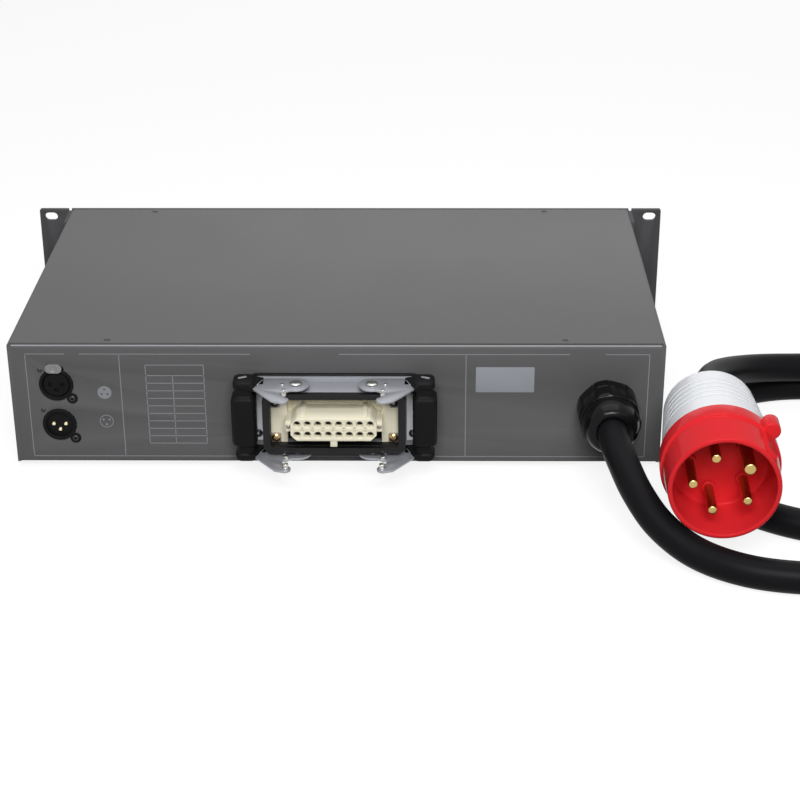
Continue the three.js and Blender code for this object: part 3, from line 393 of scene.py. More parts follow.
def roundedRect(cx, cz, wide, high, radius, steps=6):
    # outline in the rear panel's plane, in mm
    points = []
    for sx, sz, start in ((1, -1, -90), (1, 1, 0), (-1, 1, 90), (-1, -1, 180)):
        for k in range(steps + 1):
            u, v = polar(radius, start + 90 * k / steps)
            points.append((cx + sx * (wide / 2 - radius) + u, cz + sz * (high / 2 - radius) + v))
    return points


def pushed(outline, low, high):
    # an outline of (x, z) pushed along Y from low to high
    return skin([[at(x, y, z) for x, z in outline] for y in (low, high)])


def risen(outline, low, high):
    # an outline of (x, y) pushed along Z
    return skin([[at(x, y, z) for x, y in outline] for z in (low, high)])


def block(xs, ys, zs):
    # a box between two values on each axis
    (x0, x1), (z0, z1) = sorted(xs), sorted(zs)
    return pushed([(x0, z0), (x1, z0), (x1, z1), (x0, z1)], *ys)


def rod(radius, low, high, centre, sides=64, axis=ahead, lip=0.0):
    # a plain cylinder, with a fillet at its high end
    return turned([(radius, low), (radius, high, lip)], centre, sides, axis)


def joined(*parts):
    # several bodies in one bmesh
    whole = bmesh.new()
    for part in parts:
        mesh = bpy.data.meshes.new("part")
        part.to_mesh(mesh)
        part.free()
        whole.from_mesh(mesh)
        bpy.data.meshes.remove(mesh)
    return whole


def carved(bm, *cutters):
    # the body less its cutters
    made = []
    for part in (bm, joined(*cutters)):
        mesh = bpy.data.meshes.new("part")
        part.to_mesh(mesh)
        part.free()
        made.append(linked("part", mesh))
    cut = made[0].modifiers.new("cut", "BOOLEAN")
    cut.object = made[1]
    cut.solver = "EXACT"
    cut.use_self = True
    result = bmesh.new()
    result.from_mesh(baked(*made))
    return result


# Lead: the same route as the part's, in metres
lead = {"radius": 10.0, "roundness": 8, "smooth": 12}
leadRoute = [
    (-0.1795, 0.0371, 0.046), (-0.1798, 0.0494, 0.0458), (-0.1836, 0.0735, 0.0419),
    (-0.1903, 0.0948, 0.0334), (-0.2023, 0.1138, 0.0221), (-0.2225, 0.1325, 0.0131),
    (-0.2518, 0.1499, 0.0105), (-0.2925, 0.1584, 0.0103), (-0.3333, 0.1565, 0.0102),
    (-0.3717, 0.1461, 0.0102), (-0.4073, 0.1275, 0.0102), (-0.437, 0.1009, 0.0102),
    (-0.4581, 0.0671, 0.0102), (-0.4673, 0.0288, 0.0102), (-0.4635, -0.0105, 0.0102),
    (-0.4472, -0.047, 0.0102), (-0.4211, -0.0771, 0.0102), (-0.3876, -0.0986, 0.0102),
    (-0.3489, -0.1091, 0.0102), (-0.3083, -0.107, 0.0102), (-0.2726, -0.091, 0.0102),
    (-0.2451, -0.0618, 0.0102), (-0.2309, -0.0245, 0.0102), (-0.2318, 0.0153, 0.0102),
    (-0.2469, 0.0524, 0.0102), (-0.2744, 0.0819, 0.0102), (-0.3101, 0.0986, 0.0102),
    (-0.3494, 0.0995, 0.0102), (-0.3865, 0.0851, 0.0104), (-0.4151, 0.0581, 0.012),
    (-0.4326, 0.0215, 0.0162), (-0.4352, -0.0158, 0.0217), (-0.4222, -0.053, 0.0269),
    (-0.3938, -0.0831, 0.0295), (-0.3579, -0.0976, 0.0296), (-0.3175, -0.0957, 0.0313),
    (-0.2822, -0.0779, 0.0382), (-0.2573, -0.0467, 0.0481), (-0.2455, -0.0086, 0.0538),
    (-0.2438, 0.0079, 0.0544),
]


def smoothRoute(route, steps):
    # a centripetal curve through the points, as the part's lead follows
    points = [Vector(p) + Vector((0, rearY, 0)) for p in route]
    points = [2 * points[0] - points[1]] + points + [2 * points[-1] - points[-2]]
    result = []
    for a, b, c, d in zip(points, points[1:], points[2:], points[3:]):
        ta = 0
        tb = ta + (b - a).length ** 0.5
        tc = tb + (c - b).length ** 0.5
        td = tc + (d - c).length ** 0.5
        for k in range(steps):
            t = tb + (tc - tb) * k / steps
            ab = a * (tb - t) / (tb - ta) + b * (t - ta) / (tb - ta)
            bc = b * (tc - t) / (tc - tb) + c * (t - tb) / (tc - tb)
            cd = c * (td - t) / (td - tc) + d * (t - tc) / (td - tc)
            abc = ab * (tc - t) / (tc - ta) + bc * (t - ta) / (tc - ta)
            bcd = bc * (td - t) / (td - tb) + cd * (t - tb) / (td - tb)
            result.append(abc * (tc - t) / (tc - tb) + bcd * (t - tb) / (tc - tb))
    return result + [points[-2]]


def makeLead():
    line = smoothRoute(leadRoute, lead["smooth"])
    data = bpy.data.curves.new("lead_cable", "CURVE")
    data.dimensions = "3D"
    data.bevel_depth = lead["radius"] * mm
    data.bevel_resolution = lead["roundness"]
    data.use_fill_caps = True
    spline = data.splines.new("POLY")
    spline.points.add(len(line) - 1)
    for point, place in zip(spline.points, line):
        point.co = (*place, 1)
    spline.use_smooth = True
    slot, material = finishes["cable"]
    data.materials.append(material)
    cable = linked("lead_cable", data)
    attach(cable, "case")
    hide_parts("power_cable")
    long = sum((b - a).length for a, b in zip(line, line[1:]))
    return cable, line[0], long


leadPiece, leadExit, leadLong = makeLead()
print("lead:", round(leadLong, 3), "m")

# Geometry Nodes: trees are built here, and their meshes are baked before a piece is made of them


def startTree(name, inputs, result):
    # a tree with its sockets; gives a wire for each input
    tree = bpy.data.node_groups.new(name, "GeometryNodeTree")
    for title, kind in inputs.items():
        tree.interface.new_socket(title, in_out="INPUT", socket_type="NodeSocket" + kind)
    tree.interface.new_socket(result, in_out="OUTPUT", socket_type="NodeSocketGeometry")
    entry = tree.nodes.new("NodeGroupInput")
    return [Wire(tree, entry.outputs[i]) for i in range(len(inputs))]


def endTree(shape, look):
    real = shape.node("GeometryNodeRealizeInstances", {"Geometry": shape})
    done = shape.node("GeometryNodeSetMaterial", {"Geometry": real, "Material": look})
    leave = shape.tree.nodes.new("NodeGroupOutput")
    shape.tree.links.new(done.socket, leave.inputs[0])
    return shape.tree


def grown(mesh, tree, values):
    # the mesh that a tree makes of this one; the inputs go by their sockets' identifiers
    holder = linked(mesh.name, mesh)
    modifier = holder.modifiers.new("grown", "NODES")
    modifier.node_group = tree
    for item in tree.interface.items_tree:
        if item.in_out == "INPUT" and item.name in values:
            modifier[item.identifier] = values[item.name]
    return baked(holder)


def scatterTree():
    # one shape set on every point of a mesh, turned to the point's facing
    inputs = {"Points": "Geometry", "Shape": "Object", "Size": "Float", "Finish": "Material"}
    points, shape, size, look = startTree("scatter", inputs, "Pieces")
    facing, spin = (points.node("GeometryNodeInputNamedAttribute", {"Name": name}, data_type=kind)
                    for name, kind in (("facing", "FLOAT_VECTOR"), ("spin", "FLOAT")))
    turn = points.node("FunctionNodeAlignRotationToVector", {"Vector": facing}, axis="Z")
    about = points.node("ShaderNodeCombineXYZ", {"Z": spin})
    turn = points.node("FunctionNodeRotateRotation", {"Rotation": turn, "Rotate By": about},
                       rotation_space="LOCAL")
    info = points.node("GeometryNodeObjectInfo", {"Object": shape}, out="Geometry")
    placed = points.node("GeometryNodeInstanceOnPoints",
                         {"Points": points, "Instance": info, "Rotation": turn, "Scale": size})
    return endTree(placed, look)


scatterGroup = scatterTree()


def scattered(name, shape, places, look, size=1.0):
    # a shape about its own origin, set at places of (point, facing, spin)
    mesh = bpy.data.meshes.new(name)
    mesh.from_pydata([place for place, _, _ in places], [], [])
    mesh.attributes.new("facing", "FLOAT_VECTOR", "POINT")
    mesh.attributes.new("spin", "FLOAT", "POINT")
    for i, (_, way, turn) in enumerate(places):
        mesh.attributes["facing"].data[i].vector = way
        mesh.attributes["spin"].data[i].value = turn
    master = linked("master", softened(shape, 0))
    values = {"Shape": master, "Size": size, "Finish": finishes[look][1]}
    addMesh(name, grown(mesh, scatterGroup, values), look)
    bpy.data.objects.remove(master)


def screwHead(radius, rise, recess, slotWide=0.28):
    # a domed head with a cross recess, facing +Z
    origin = Vector((0, 0, 0))
    profile = [(radius, -0.5), (radius, rise * 0.35, 0.2), (radius * 0.55, rise, radius * 0.4)]
    head = turned(profile, origin, 32, upward)
    arm, thin = radius * 0.62, radius * slotWide
    bars = []
    for wide, tall in ((arm, thin), (thin, arm)):
        corners = [(-wide, -tall), (wide, -tall), (wide, tall), (-wide, tall)]
        bars.append(skin([[Vector((x * s, y * s, z)) * mm for x, y in corners]
                          for z, s in ((rise - recess, 0.55), (rise + 0.5, 1.0))]))
    return carved(head, *bars)


def rivetHead(radius, rise):
    profile = [(radius, -0.3), (radius, rise * 0.4, radius * 0.2), (radius * 0.6, rise, radius * 0.5)]
    return turned(profile, Vector((0, 0, 0)), 32, upward)


# radius, rise, depth of the recess, width of its slots as a share of the radius
heads = {
    "cover": (2.6, 0.35, 0.9), "socket": (2.0, 0.6, 0.9), "rivet": (1.6, 0.6),
    "outlet": (2.9, 1.2, 1.4, 0.2), "endSize": 0.55,
}

# Case: the CAD's folded sheets with their edges softened, in powder coat
case = {
    "screwX": 150.5, "screwRear": 6.9, "screwFront": 252.0, "cornerFrom": 213.4,
    "cornerTo": 216.0, "bendDeep": (-1.5, -0.2), "bendDown": (-2.15, -1.35), "padHole": 3.0,
    "padGap": 0.05,
}
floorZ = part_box("chassis")[0].z / mm
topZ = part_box("top_cover")[1].z / mm


def dressed(node, look, width, body="case"):
    # a merged copy of a CAD node with its edges rounded
    bm = bmesh.new()
    bm.from_mesh(nodes[node].data)
    bmesh.ops.remove_doubles(bm, verts=bm.verts, dist=2e-6)
    bmesh.ops.dissolve_limit(bm, angle_limit=math.radians(0.5), verts=bm.verts, edges=bm.edges)
    addPiece(node + "_dressed", bm, look, [node], body, width, angle=35)


def boxOf(node):
    # the middle and the half size of a CAD node
    low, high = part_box(node)
    return (low + high) / 2, (high - low) / 2


def makeCase():
    dressed("chassis", "paint", 0.4)
    dressed("top_cover", "paint", 0.35)
    dressed("front_panel", "panel", 0.4)
    hole, gap = case["padHole"], case["padGap"]
    for end in ("front", "rear"):
        for side in ("left", "right"):
            foot = f"foot_{end}_{side}"
            middle, half = boxOf(foot)
            radius, top = half.x / mm, (middle.z + half.z) / mm
            profile = [(hole, hole), (hole, gap, 0.3), (radius - 1, gap, 0.8), (radius, top)]
            pad = turned(profile, Vector((middle.x, middle.y, 0)), 48, upward)
            addPiece(f"foot_pad_{end}_{side}", pad, "rubber", [foot])


def makeCoverScrews():
    places = [(at(side * case["screwX"], -back, topZ), upward, side + back)
              for side in (-1, 1) for back in (case["screwRear"], case["screwFront"])]
    scattered("cover_screws", screwHead(*heads["cover"]), places, "steel")


def makeEdges():
    # a strip of lighter paint along the panel's top bend as a painted highlight, and the folded corners
    # that close it at the sides
    low, high = (topZ + down for down in case["bendDown"])
    bend = block((-case["cornerFrom"], case["cornerFrom"]), case["bendDeep"], (low, high))
    addPiece("panel_bend", bend, "edge", width=0.25)
    corners = [block((s * case["cornerFrom"], s * case["cornerTo"]), (-1.0, 0.06),
                     (floorZ + 0.2, topZ - 1.3)) for s in (-1, 1)]
    addPiece("panel_corners", joined(*corners), "paint", width=0.45, steps=3)


makeCase()
makeCoverScrews()
makeEdges()
print("case")

# Print on the rear panel: the frame with its gaps, the dividers, the table and two pole diagrams
prints = {
    "line": 0.55, "under": -0.02, "rise": 0.06, "left": -205.5, "right": 204.5, "low": 9.3,
    "high": 84.5, "dividers": (142.7, -85.4),
    "gaps": ((168.4, 178.9), (-2.4, 56.5), (-177.0, -152.9)),
}
table = {
    "left": 87.4, "right": 125.8, "low": 19.0, "high": 76.6, "header": 65 / 488, "rows": 9,
    "split": 0.54,
}
barePlate = {"left": -130.5, "right": -91.9, "low": 57.1, "high": 75.4, "corner": 0.8, "thick": 0.2}
diagrams = {
    "x": 153.9, "outZ": 56.5, "inZ": 35.4, "radius": 4.65, "line": 0.5, "dot": 0.75, "spread": 2.3,
}


def sidesOf(values):
    return [values[key] for key in ("left", "right", "low", "high")]


def strip(x0, x1, z0, z1):
    # a printed line: z0 and z1 are the same for a level one, x0 and x1 for an upright one
    half = prints["line"] / 2
    past = 0 if x0 == x1 else half
    return block((x0 - half, x1 + half), (prints["under"], prints["rise"]), (z0 - past, z1 + past))


def makePrint():
    left, right, low, high = sidesOf(prints)
    edges = sorted([left, right] + [x for gap in prints["gaps"] for x in gap])
    lines = [strip(start, end, high, high) for start, end in zip(edges[::2], edges[1::2])]
    lines.append(strip(left, right, low, low))
    lines += [strip(x, x, low, high) for x in (left, right, *prints["dividers"])]
    left, right, low, high = sidesOf(table)
    step = (high - low) * (1 - table["header"]) / table["rows"]
    levels = [high] + [low + i * step for i in range(table["rows"] + 1)]
    lines += [strip(left, right, z, z) for z in levels]
    lines += [strip(x, x, low, high) for x in (left, right)]
    split = left + (right - left) * table["split"]
    lines.append(strip(split, split, low, levels[-1]))
    addPiece("print_lines", joined(*lines), "ink")


def makeDiagrams():
    # the output's diagram is a filled disc with open dots, the input's a ring with filled dots
    d, under, rise = diagrams, prints["under"], prints["rise"]
    dots = []
    for z, turn, grow in ((d["outZ"], 90, 1), (d["inZ"], -90, 0)):
        for k in range(3):
            u, v = polar(d["spread"], turn + 120 * k)
            dots.append(rod(d["dot"], under - grow, rise + grow, at(d["x"] + u, 0, z + v), 20))
    disc = carved(rod(d["radius"], under, rise, at(d["x"], 0, d["outZ"]), 40), *dots[:3])
    inner, outer = d["radius"] - d["line"], d["radius"]
    ring = turned([(inner, under), (outer, under), (outer, rise), (inner, rise), (inner, under)],
                  at(d["x"], 0, d["inZ"]), 40)
    addPiece("print_diagrams", joined(ring, disc, *dots[3:]), "ink")
    left, right, low, high = sidesOf(barePlate)
    outline = roundedRect((left + right) / 2, (low + high) / 2, right - left, high - low,
                          barePlate["corner"])
    addPiece("bare_plate", pushed(outline, under, barePlate["thick"]), "plate", width=0.08)


makePrint()
makeDiagrams()
print("print")

# Data sockets, the output above the input
port = {
    "x": 185.5, "outZ": 62.3, "inZ": 33.1, "radius": 11.2, "wall": 2.2, "back": -21.0, "proud": 1.2,
    "cup": 11.0, "lipIn": 1.6, "insertRadius": 8.4, "insertGap": 0.3, "insertBack": -10.7,
    "shellFloor": -11.0, "flange": (27, 25, 2), "flangeDeep": (-3.1, -1.5), "pinCircle": 4.05,
    "angles": (0, 180, 270), "hole": 1.5, "holeFloor": -7.0, "pin": 1.2, "key": 1.5,
    "keyFront": -1.0, "ear": (-10, -9.9), "earRadius": 3.6, "earRise": 0.9, "rivet": (10.1, 10.4),
}
tab = {
    "wide": 11.0, "high": 6.4, "corner": 3.15, "room": 0.6, "roomCorner": 3.4, "shellSlot": -9.0,
    "insertSlot": -12.0, "rise": 12.3, "aside": 0.7, "back": -6.5, "proud": 2.4,
    "thumb": (2.2, 2.6),
}


def polePlaces(z):
    for angle in port["angles"]:
        u, v = polar(port["pinCircle"], angle)
        yield port["x"] + u, z + v


def latchShape(room, corner, back, front, steps=6):
    # the latch's plan, grown by the room around it
    x, z = port["x"] + tab["aside"], port["outZ"] + tab["rise"]
    return pushed(roundedRect(x, z, tab["wide"] + room, tab["high"] + room, corner, steps), back, front)


def latchSlot(back):
    return latchShape(tab["room"], tab["roomCorner"], back, 4)


def portFlange(z):
    return pushed(roundedRect(port["x"], z, *port["flange"]), *port["flangeDeep"])


def makeOutSocket():
    centre = at(port["x"], 0, port["outZ"])
    r, back, proud = port["radius"], port["back"], port["proud"]
    inner, floor = port["insertRadius"] + port["insertGap"], port["shellFloor"]
    ring = turned([(r, back), (r, proud, 0.5), (r - port["lipIn"], proud, 0.4),
                   (inner, -0.6, 0.2), (inner, floor)], centre, 72)
    bodies = [carved(part, latchSlot(tab["shellSlot"])) for part in (ring, portFlange(port["outZ"]))]
    addPiece("socket_out_shell", joined(*bodies), "black", ["xlr_out_body"])
    disc = rod(port["insertRadius"], port["insertBack"], 0, centre, lip=0.4)
    holes = [rod(port["hole"], port["holeFloor"], 1, at(x, 0, z), 24)
             for x, z in polePlaces(port["outZ"])]
    insert = carved(disc, *holes, latchSlot(tab["insertSlot"]))
    addPiece("socket_out_insert", insert, "black", ["xlr_out_insert"], width=0.2)


def makeLatch():
    place = at(port["x"] + tab["aside"], 0, port["outZ"] + tab["rise"])
    proud = tab["proud"]
    floor, mouth = tab["thumb"]
    thumb = turned([(0, proud - 0.35), (floor, proud - 0.3, 0.5), (mouth, proud + 1)], place, 32)
    latch = carved(latchShape(0, tab["corner"], tab["back"], proud, 8), thumb)
    addPiece("socket_latch", latch, "pewter", ["xlr_out_latch"], "xlr_latch", 0.5, 3)


def makeInSocket():
    x, z, r, wall = port["x"], port["inZ"], port["radius"], port["wall"]
    back, proud = port["back"], port["proud"]
    floor = proud - port["cup"]
    profile = [(r, back), (r, proud, 0.6), (r - wall, proud, 0.6), (r - wall, floor, 0.4)]
    shell = turned(profile, at(x, 0, z), 72)
    key = block((x - port["key"], x + port["key"]), (floor, port["keyFront"]),
                (z - r + wall - 1, z - r + 2 * wall))
    addPiece("socket_in_shell", joined(shell, portFlange(z), key), "black", ["xlr_in_body"])
    for i, (u, v) in enumerate(polePlaces(z), 1):
        name, p = f"xlr_in_pin_{i}", port["pin"]
        back, tip = ((end.y - rearY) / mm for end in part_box(name))
        pin = turned([(p, back), (p, tip, p * 0.95)], at(u, 0, v), 24, steps=6)
        # the pins in the near-white gilt: gold plating with a painted highlight
        addPiece(name + "_turned", pin, "gilt_highlight", [name])


def makeSocketScrews():
    # each socket has a raised ear with a dark screw, and a light rivet at the opposite corner
    ears, screws, rivets = [], [], []
    for z in (port["outZ"], port["inZ"]):
        ear = at(port["x"] + port["ear"][0], 0, z + port["ear"][1])
        ears.append(rod(port["earRadius"], -0.3, port["earRise"], ear, 32, lip=0.4))
        screws.append((ear + ahead * port["earRise"] * mm, ahead, 0.4))
        rivets.append((at(port["x"] + port["rivet"][0], 0, z + port["rivet"][1]), ahead, 0))
    addPiece("socket_ears", joined(*ears), "black")
    scattered("socket_screws", screwHead(*heads["socket"]), screws, "steel")
    scattered("socket_rivets", rivetHead(*heads["rivet"]), rivets, "steel")


makeOutSocket()
makeLatch()
makeInSocket()
makeSocketScrews()
print("data sockets")

# Load outlet: gasket, housing, seal, insert and two levers
outlet = {
    "x": 0.9, "z": 45.0, "long": 93.5, "high": 43.0, "corner": 6.0, "innerLong": 85.0,
    "innerHigh": 35.0, "innerCorner": 2.0, "back": 2.0, "front": 20.0, "flangeLong": 113.0,
    "flangeHigh": 49.6, "flangeThick": 2.4, "flangeCorner": 7.0, "stripX": (47.4, 54.0),
    "stripZ": (-21, 20), "lining": 0.7, "screwX": 51.5, "screwZ": 16.0,
}
sealRing = {"long": 118.0, "high": 52.4, "corner": 8.0, "thick": 2.0}
rim = {"innerLong": 84.0, "innerHigh": 35.0, "corner": 3.0, "front": 23.5}
contacts = {
    "back": -12.0, "baseLong": 84.4, "baseHigh": 34.4, "floor": 9.6, "shoulder": 15.5,
    "sideFrom": 31.0, "relief": -2.4, "tip": 32.0, "long": 56.0, "high": 16.0, "chamfer": 4.0,
    "pitch": 6.8, "rowPitch": 7.6, "poles": 8, "bore": 2.2, "deep": 12.0, "dark": 27.2,
    "mark": ((-1.2, 0.3), (1.2, 0.3), (0, 1.9)), "markDeep": 1.6, "rib": 3.2, "ribSpan": 40.4,
    "ribHigh": 1.5, "ribFront": 31.4, "peg": 4.5, "pegHigh": 4.5, "pegFrom": 23.0, "screwX": 38.75,
    "screwLow": -13.4, "screwHigh": 11.7, "plate": (6.8, 6.6, 1), "wingTo": 31.6, "wingHigh": 3.6,
    "wingFront": 27.0, "endScrew": 29.7,
}
lever = {
    "pivotX": 24.8, "pivotY": 16.4, "disc": 9.0, "plate": 1.5, "boss": 3.4, "stud": 2.6,
    "rivet": 4.0, "gap": 2.7, "headGap": 0.4, "reach": 27.4, "hookIn": 3.2, "hook": 4.2,
    "throat": 4.6, "outer": 27.6, "outerY": 7.0, "backIn": 21.0, "pegs": ((8.7, 1.2), (7.3, 9.5)),
    "peg": 1.9, "pegLong": 2.3, "nose": (6.6, 22.8), "noseWide": 2.3, "noseLong": 3.4,
}
handle = {
    "long": 58.9, "middle": 16.5, "neck": (18.4, 23.4), "neckIn": 0.9, "inner": 26.6, "thick": 14.4,
    "bulge": 1.6, "back": -9.8, "front": 5.2, "corner": 3.5, "web": 6.2, "webBack": 3.0,
    "webFront": 4.5, "slot": (6.2, 2.3), "slotTurn": 25.0, "slotAt": (8.2, -2.3),
    "tip": ((0, 3.4), (0.25, 1.9), (0.8, 0.8), (1.7, 0.2), (2.8, 0)), "capIn": 6.0, "capSlant": 2.4,
    "capDown": (3.2, 0.8),
}


def onOutlet(u, y, v):
    # a place given from the outlet's middle
    return at(outlet["x"] + u, y, outlet["z"] + v)


def slab(long, high, corner, back, front):
    return pushed(roundedRect(outlet["x"], outlet["z"], long, high, corner, 8), back, front)


def outletBlock(us, ys, vs):
    return block([outlet["x"] + u for u in us], ys, [outlet["z"] + v for v in vs])


def makeHousing():
    o = outlet
    back, front, face = o["back"], o["front"], o["back"] + o["flangeThick"]
    well = (o["innerLong"], o["innerHigh"], o["innerCorner"])
    plan = (o["long"], o["high"], o["corner"])
    gasket = carved(slab(sealRing["long"], sealRing["high"], sealRing["corner"], 0, sealRing["thick"]),
                    slab(*well, -1, sealRing["thick"] + 1))
    addPiece("outlet_gasket_cut", gasket, "rubber", ["outlet_gasket"], width=0.3)
    walls = carved(slab(*plan, back, front), slab(*well, back - 1, front + 1))
    flange = carved(slab(o["flangeLong"], o["flangeHigh"], o["flangeCorner"], back, face),
                    slab(*well, back - 1, front))
    neck = lever["gap"] - lever["headGap"]
    under = lever["gap"] + lever["plate"] + lever["headGap"]
    stud, head = lever["stud"], lever["rivet"]
    bosses, rivets = [], []
    for side, rise in ((-1, -1), (-1, 1), (1, -1), (1, 1)):
        centre = onOutlet(side * lever["pivotX"], lever["pivotY"], rise * o["high"] / 2)
        bosses.append(rod(lever["boss"], -2, neck, centre, 32, upward * rise, 0.3))
        profile = [(stud, neck - 0.4), (stud, under), (head, under, 0.2),
                   (head, under + 0.5, 0.5), (head * 0.6, under + 1, 0.8)]
        rivets.append(turned(profile, centre, 40, upward * rise))
    casting = joined(walls, flange, *bosses)
    addPiece("outlet_housing_cast", casting, "cast", ["outlet_housing"], width=0.4)
    # strips of much lighter alloy on the flange's face between grips and housing: painted light where
    # the flange lies in shade
    strips = [outletBlock([s * u for u in o["stripX"]], (face - 0.5, face + 0.08), o["stripZ"])
              for s in (-1, 1)]
    addPiece("outlet_flange_strips", joined(*strips), "flange")
    long, high = (o[key] - 2 * o["lining"] for key in ("innerLong", "innerHigh"))
    sleeve = carved(slab(*well, contacts["shoulder"] + 0.1, front - 0.1),
                    slab(long, high, 1.6, back, front + 1))
    addPiece("outlet_well_lining", sleeve, "rubber")
    addPiece("lever_pivot_rivets", joined(*rivets), "silver")
    seal = carved(slab(*plan, front, rim["front"]),
                  slab(rim["innerLong"], rim["innerHigh"], rim["corner"], front - 1, rim["front"] + 1))
    addPiece("outlet_seal_band", seal, "rubber", ["outlet_rim_seal"], width=0.9, steps=3)


def contactPlaces():
    for i in range(contacts["poles"]):
        x = outlet["x"] + (i - (contacts["poles"] - 1) / 2) * contacts["pitch"]
        for row in (-1, 1):
            yield x, outlet["z"] + row * contacts["rowPitch"] / 2


def makeInsert():
    c = contacts
    side, floor, tip, bore, deep = c["sideFrom"], c["floor"], c["tip"], c["bore"], c["tip"] - c["deep"]
    half, rise, k = c["long"] / 2, c["high"] / 2, c["chamfer"]
    low = -outlet["innerHigh"] / 2 - 1
    base = carved(slab(c["baseLong"], c["baseHigh"], 2, c["back"], c["shoulder"]),
                  outletBlock((-side, side), (floor, c["shoulder"] + 1), (low, low + 40)),
                  outletBlock((-side, side), (c["relief"], floor + 1), (low, -rise)))
    corners = [(-half, k - rise), (k - half, -rise), (half - k, -rise), (half, k - rise),
               (half, rise - k), (half - k, rise), (k - half, rise), (-half, rise - k)]
    raised = pushed([(outlet["x"] + u, outlet["z"] + v) for u, v in corners], floor - 1, tip)
    profile = [(bore, deep), (bore, tip - 0.5), (bore + 0.6, tip + 0.2)]
    cutters = [turned(profile, at(x, 0, z), 20) for x, z in contactPlaces()]
    for i in range(c["poles"] - 1):
        x = outlet["x"] + (i - (c["poles"] - 2) / 2) * c["pitch"]
        for way in (1, -1):
            points = [(x + u, outlet["z"] + way * v) for u, v in c["mark"]]
            cutters.append(pushed(points, tip - c["markDeep"], tip + 1))
    extras = []
    for s in (-1, 1):
        u = s * c["ribSpan"] / 2
        extras.append(outletBlock((u - c["rib"] / 2, u + c["rib"] / 2), (floor - 1, c["ribFront"]),
                                  (rise - 1, rise + c["ribHigh"])))
        extras.append(outletBlock((s * (half - 1), s * c["wingTo"]), (floor - 1, c["wingFront"]),
                                  (-c["wingHigh"], c["wingHigh"])))
    extras.append(outletBlock((-c["peg"] / 2, c["peg"] / 2), (c["pegFrom"], c["ribFront"]),
                              (-rise - c["pegHigh"], 1 - rise)))
    insert = joined(base, carved(raised, *cutters), *extras)
    addPiece("outlet_insert_moulded", insert, "cream", ["outlet_insert"], width=0.25)
    # a black trough in the gap under the raised block: painted shade where the cream moulding lies in
    # shadow
    lining = carved(outletBlock((0.05 - side, side - 0.05), (c["relief"] - 0.5, floor - 0.1),
                                (low + 1.4, -rise - 0.05)),
                    outletBlock((0.4 - side, side - 0.4), (c["relief"] + 0.1, floor + 1),
                                (low + 1.7, -rise - 0.4)))
    addPiece("insert_gap_lining", lining, "rubber")


def makeInsertScrews():
    c, sides = contacts, (-1, 1)
    seat, face = c["shoulder"] + 0.6, outlet["back"] + outlet["flangeThick"]
    brass = [(s * c["screwX"], seat, c["screwLow"], 0.5 * s) for s in sides]
    dark = [(s * c["screwX"], seat, c["screwHigh"], 0.3 * s) for s in sides]
    flange = [(s * outlet["screwX"], face, rise * outlet["screwZ"], s + rise)
              for s in sides for rise in sides]
    ends = [(s * c["endScrew"], c["wingFront"], 0, s) for s in sides]
    for name, places, look, size in (("insert_screws_brass", brass, "brass", 1.0),
                                     ("insert_screws_dark", dark, "steel", 1.0),
                                     ("flange_screws", flange, "steel", 1.0),
                                     ("block_end_screws", ends, "earth", heads["endSize"])):
        places = [(onOutlet(u, y, v), ahead, spin) for u, y, v, spin in places]
        scattered(name, screwHead(*heads["outlet"]), places, look, size)
    # black discs a few mm down each contact bore: painted shade inside the holes
    bores = [(at(x, c["dark"], z), ahead, 0) for x, z in contactPlaces()]
    scattered("contact_depths", rivetHead(c["bore"] - 0.05, 0.2), bores, "rubber")
    plates = [pushed(roundedRect(outlet["x"] + s * c["screwX"], outlet["z"] + v, *c["plate"]),
                     c["shoulder"] - 0.3, c["shoulder"] + 0.7)
              for s in sides for v in (c["screwLow"], c["screwHigh"])]
    addPiece("earth_plates", joined(*plates), "earth", width=0.2)


def cheekOutline(side):
    # plan of a cheek in (x, y): round at the pivot, hooked at the nose, pointed at the outer corner
    px, py = outlet["x"] + side * lever["pivotX"], lever["pivotY"]
    points = []

    def arc(cu, cv, radius, start, end, steps=12):
        for k in range(steps + 1):
            u, v = polar(radius, start + (end - start) * k / steps)
            points.append((px + side * (cu + u), py + cv + v))

    arc(0, 0, lever["disc"], 75, 270, 24)
    points.append((px + side * lever["backIn"], py - lever["disc"]))
    points.append((px + side * lever["outer"], py + lever["outerY"]))
    points.append((px + side * lever["outer"] / 2, py + lever["reach"] - lever["hook"] / 2))
    middle = lever["hookIn"] + lever["hook"]
    arc(middle, lever["reach"] - lever["hook"], lever["hook"], 90, 250)
    arc(middle, lever["disc"] + lever["throat"], lever["throat"] / 2, 70, -90)
    return points


def cheekLevels(rise):
    wall = outlet["z"] + rise * (outlet["high"] / 2 + lever["gap"])
    return wall, wall + rise * lever["plate"]


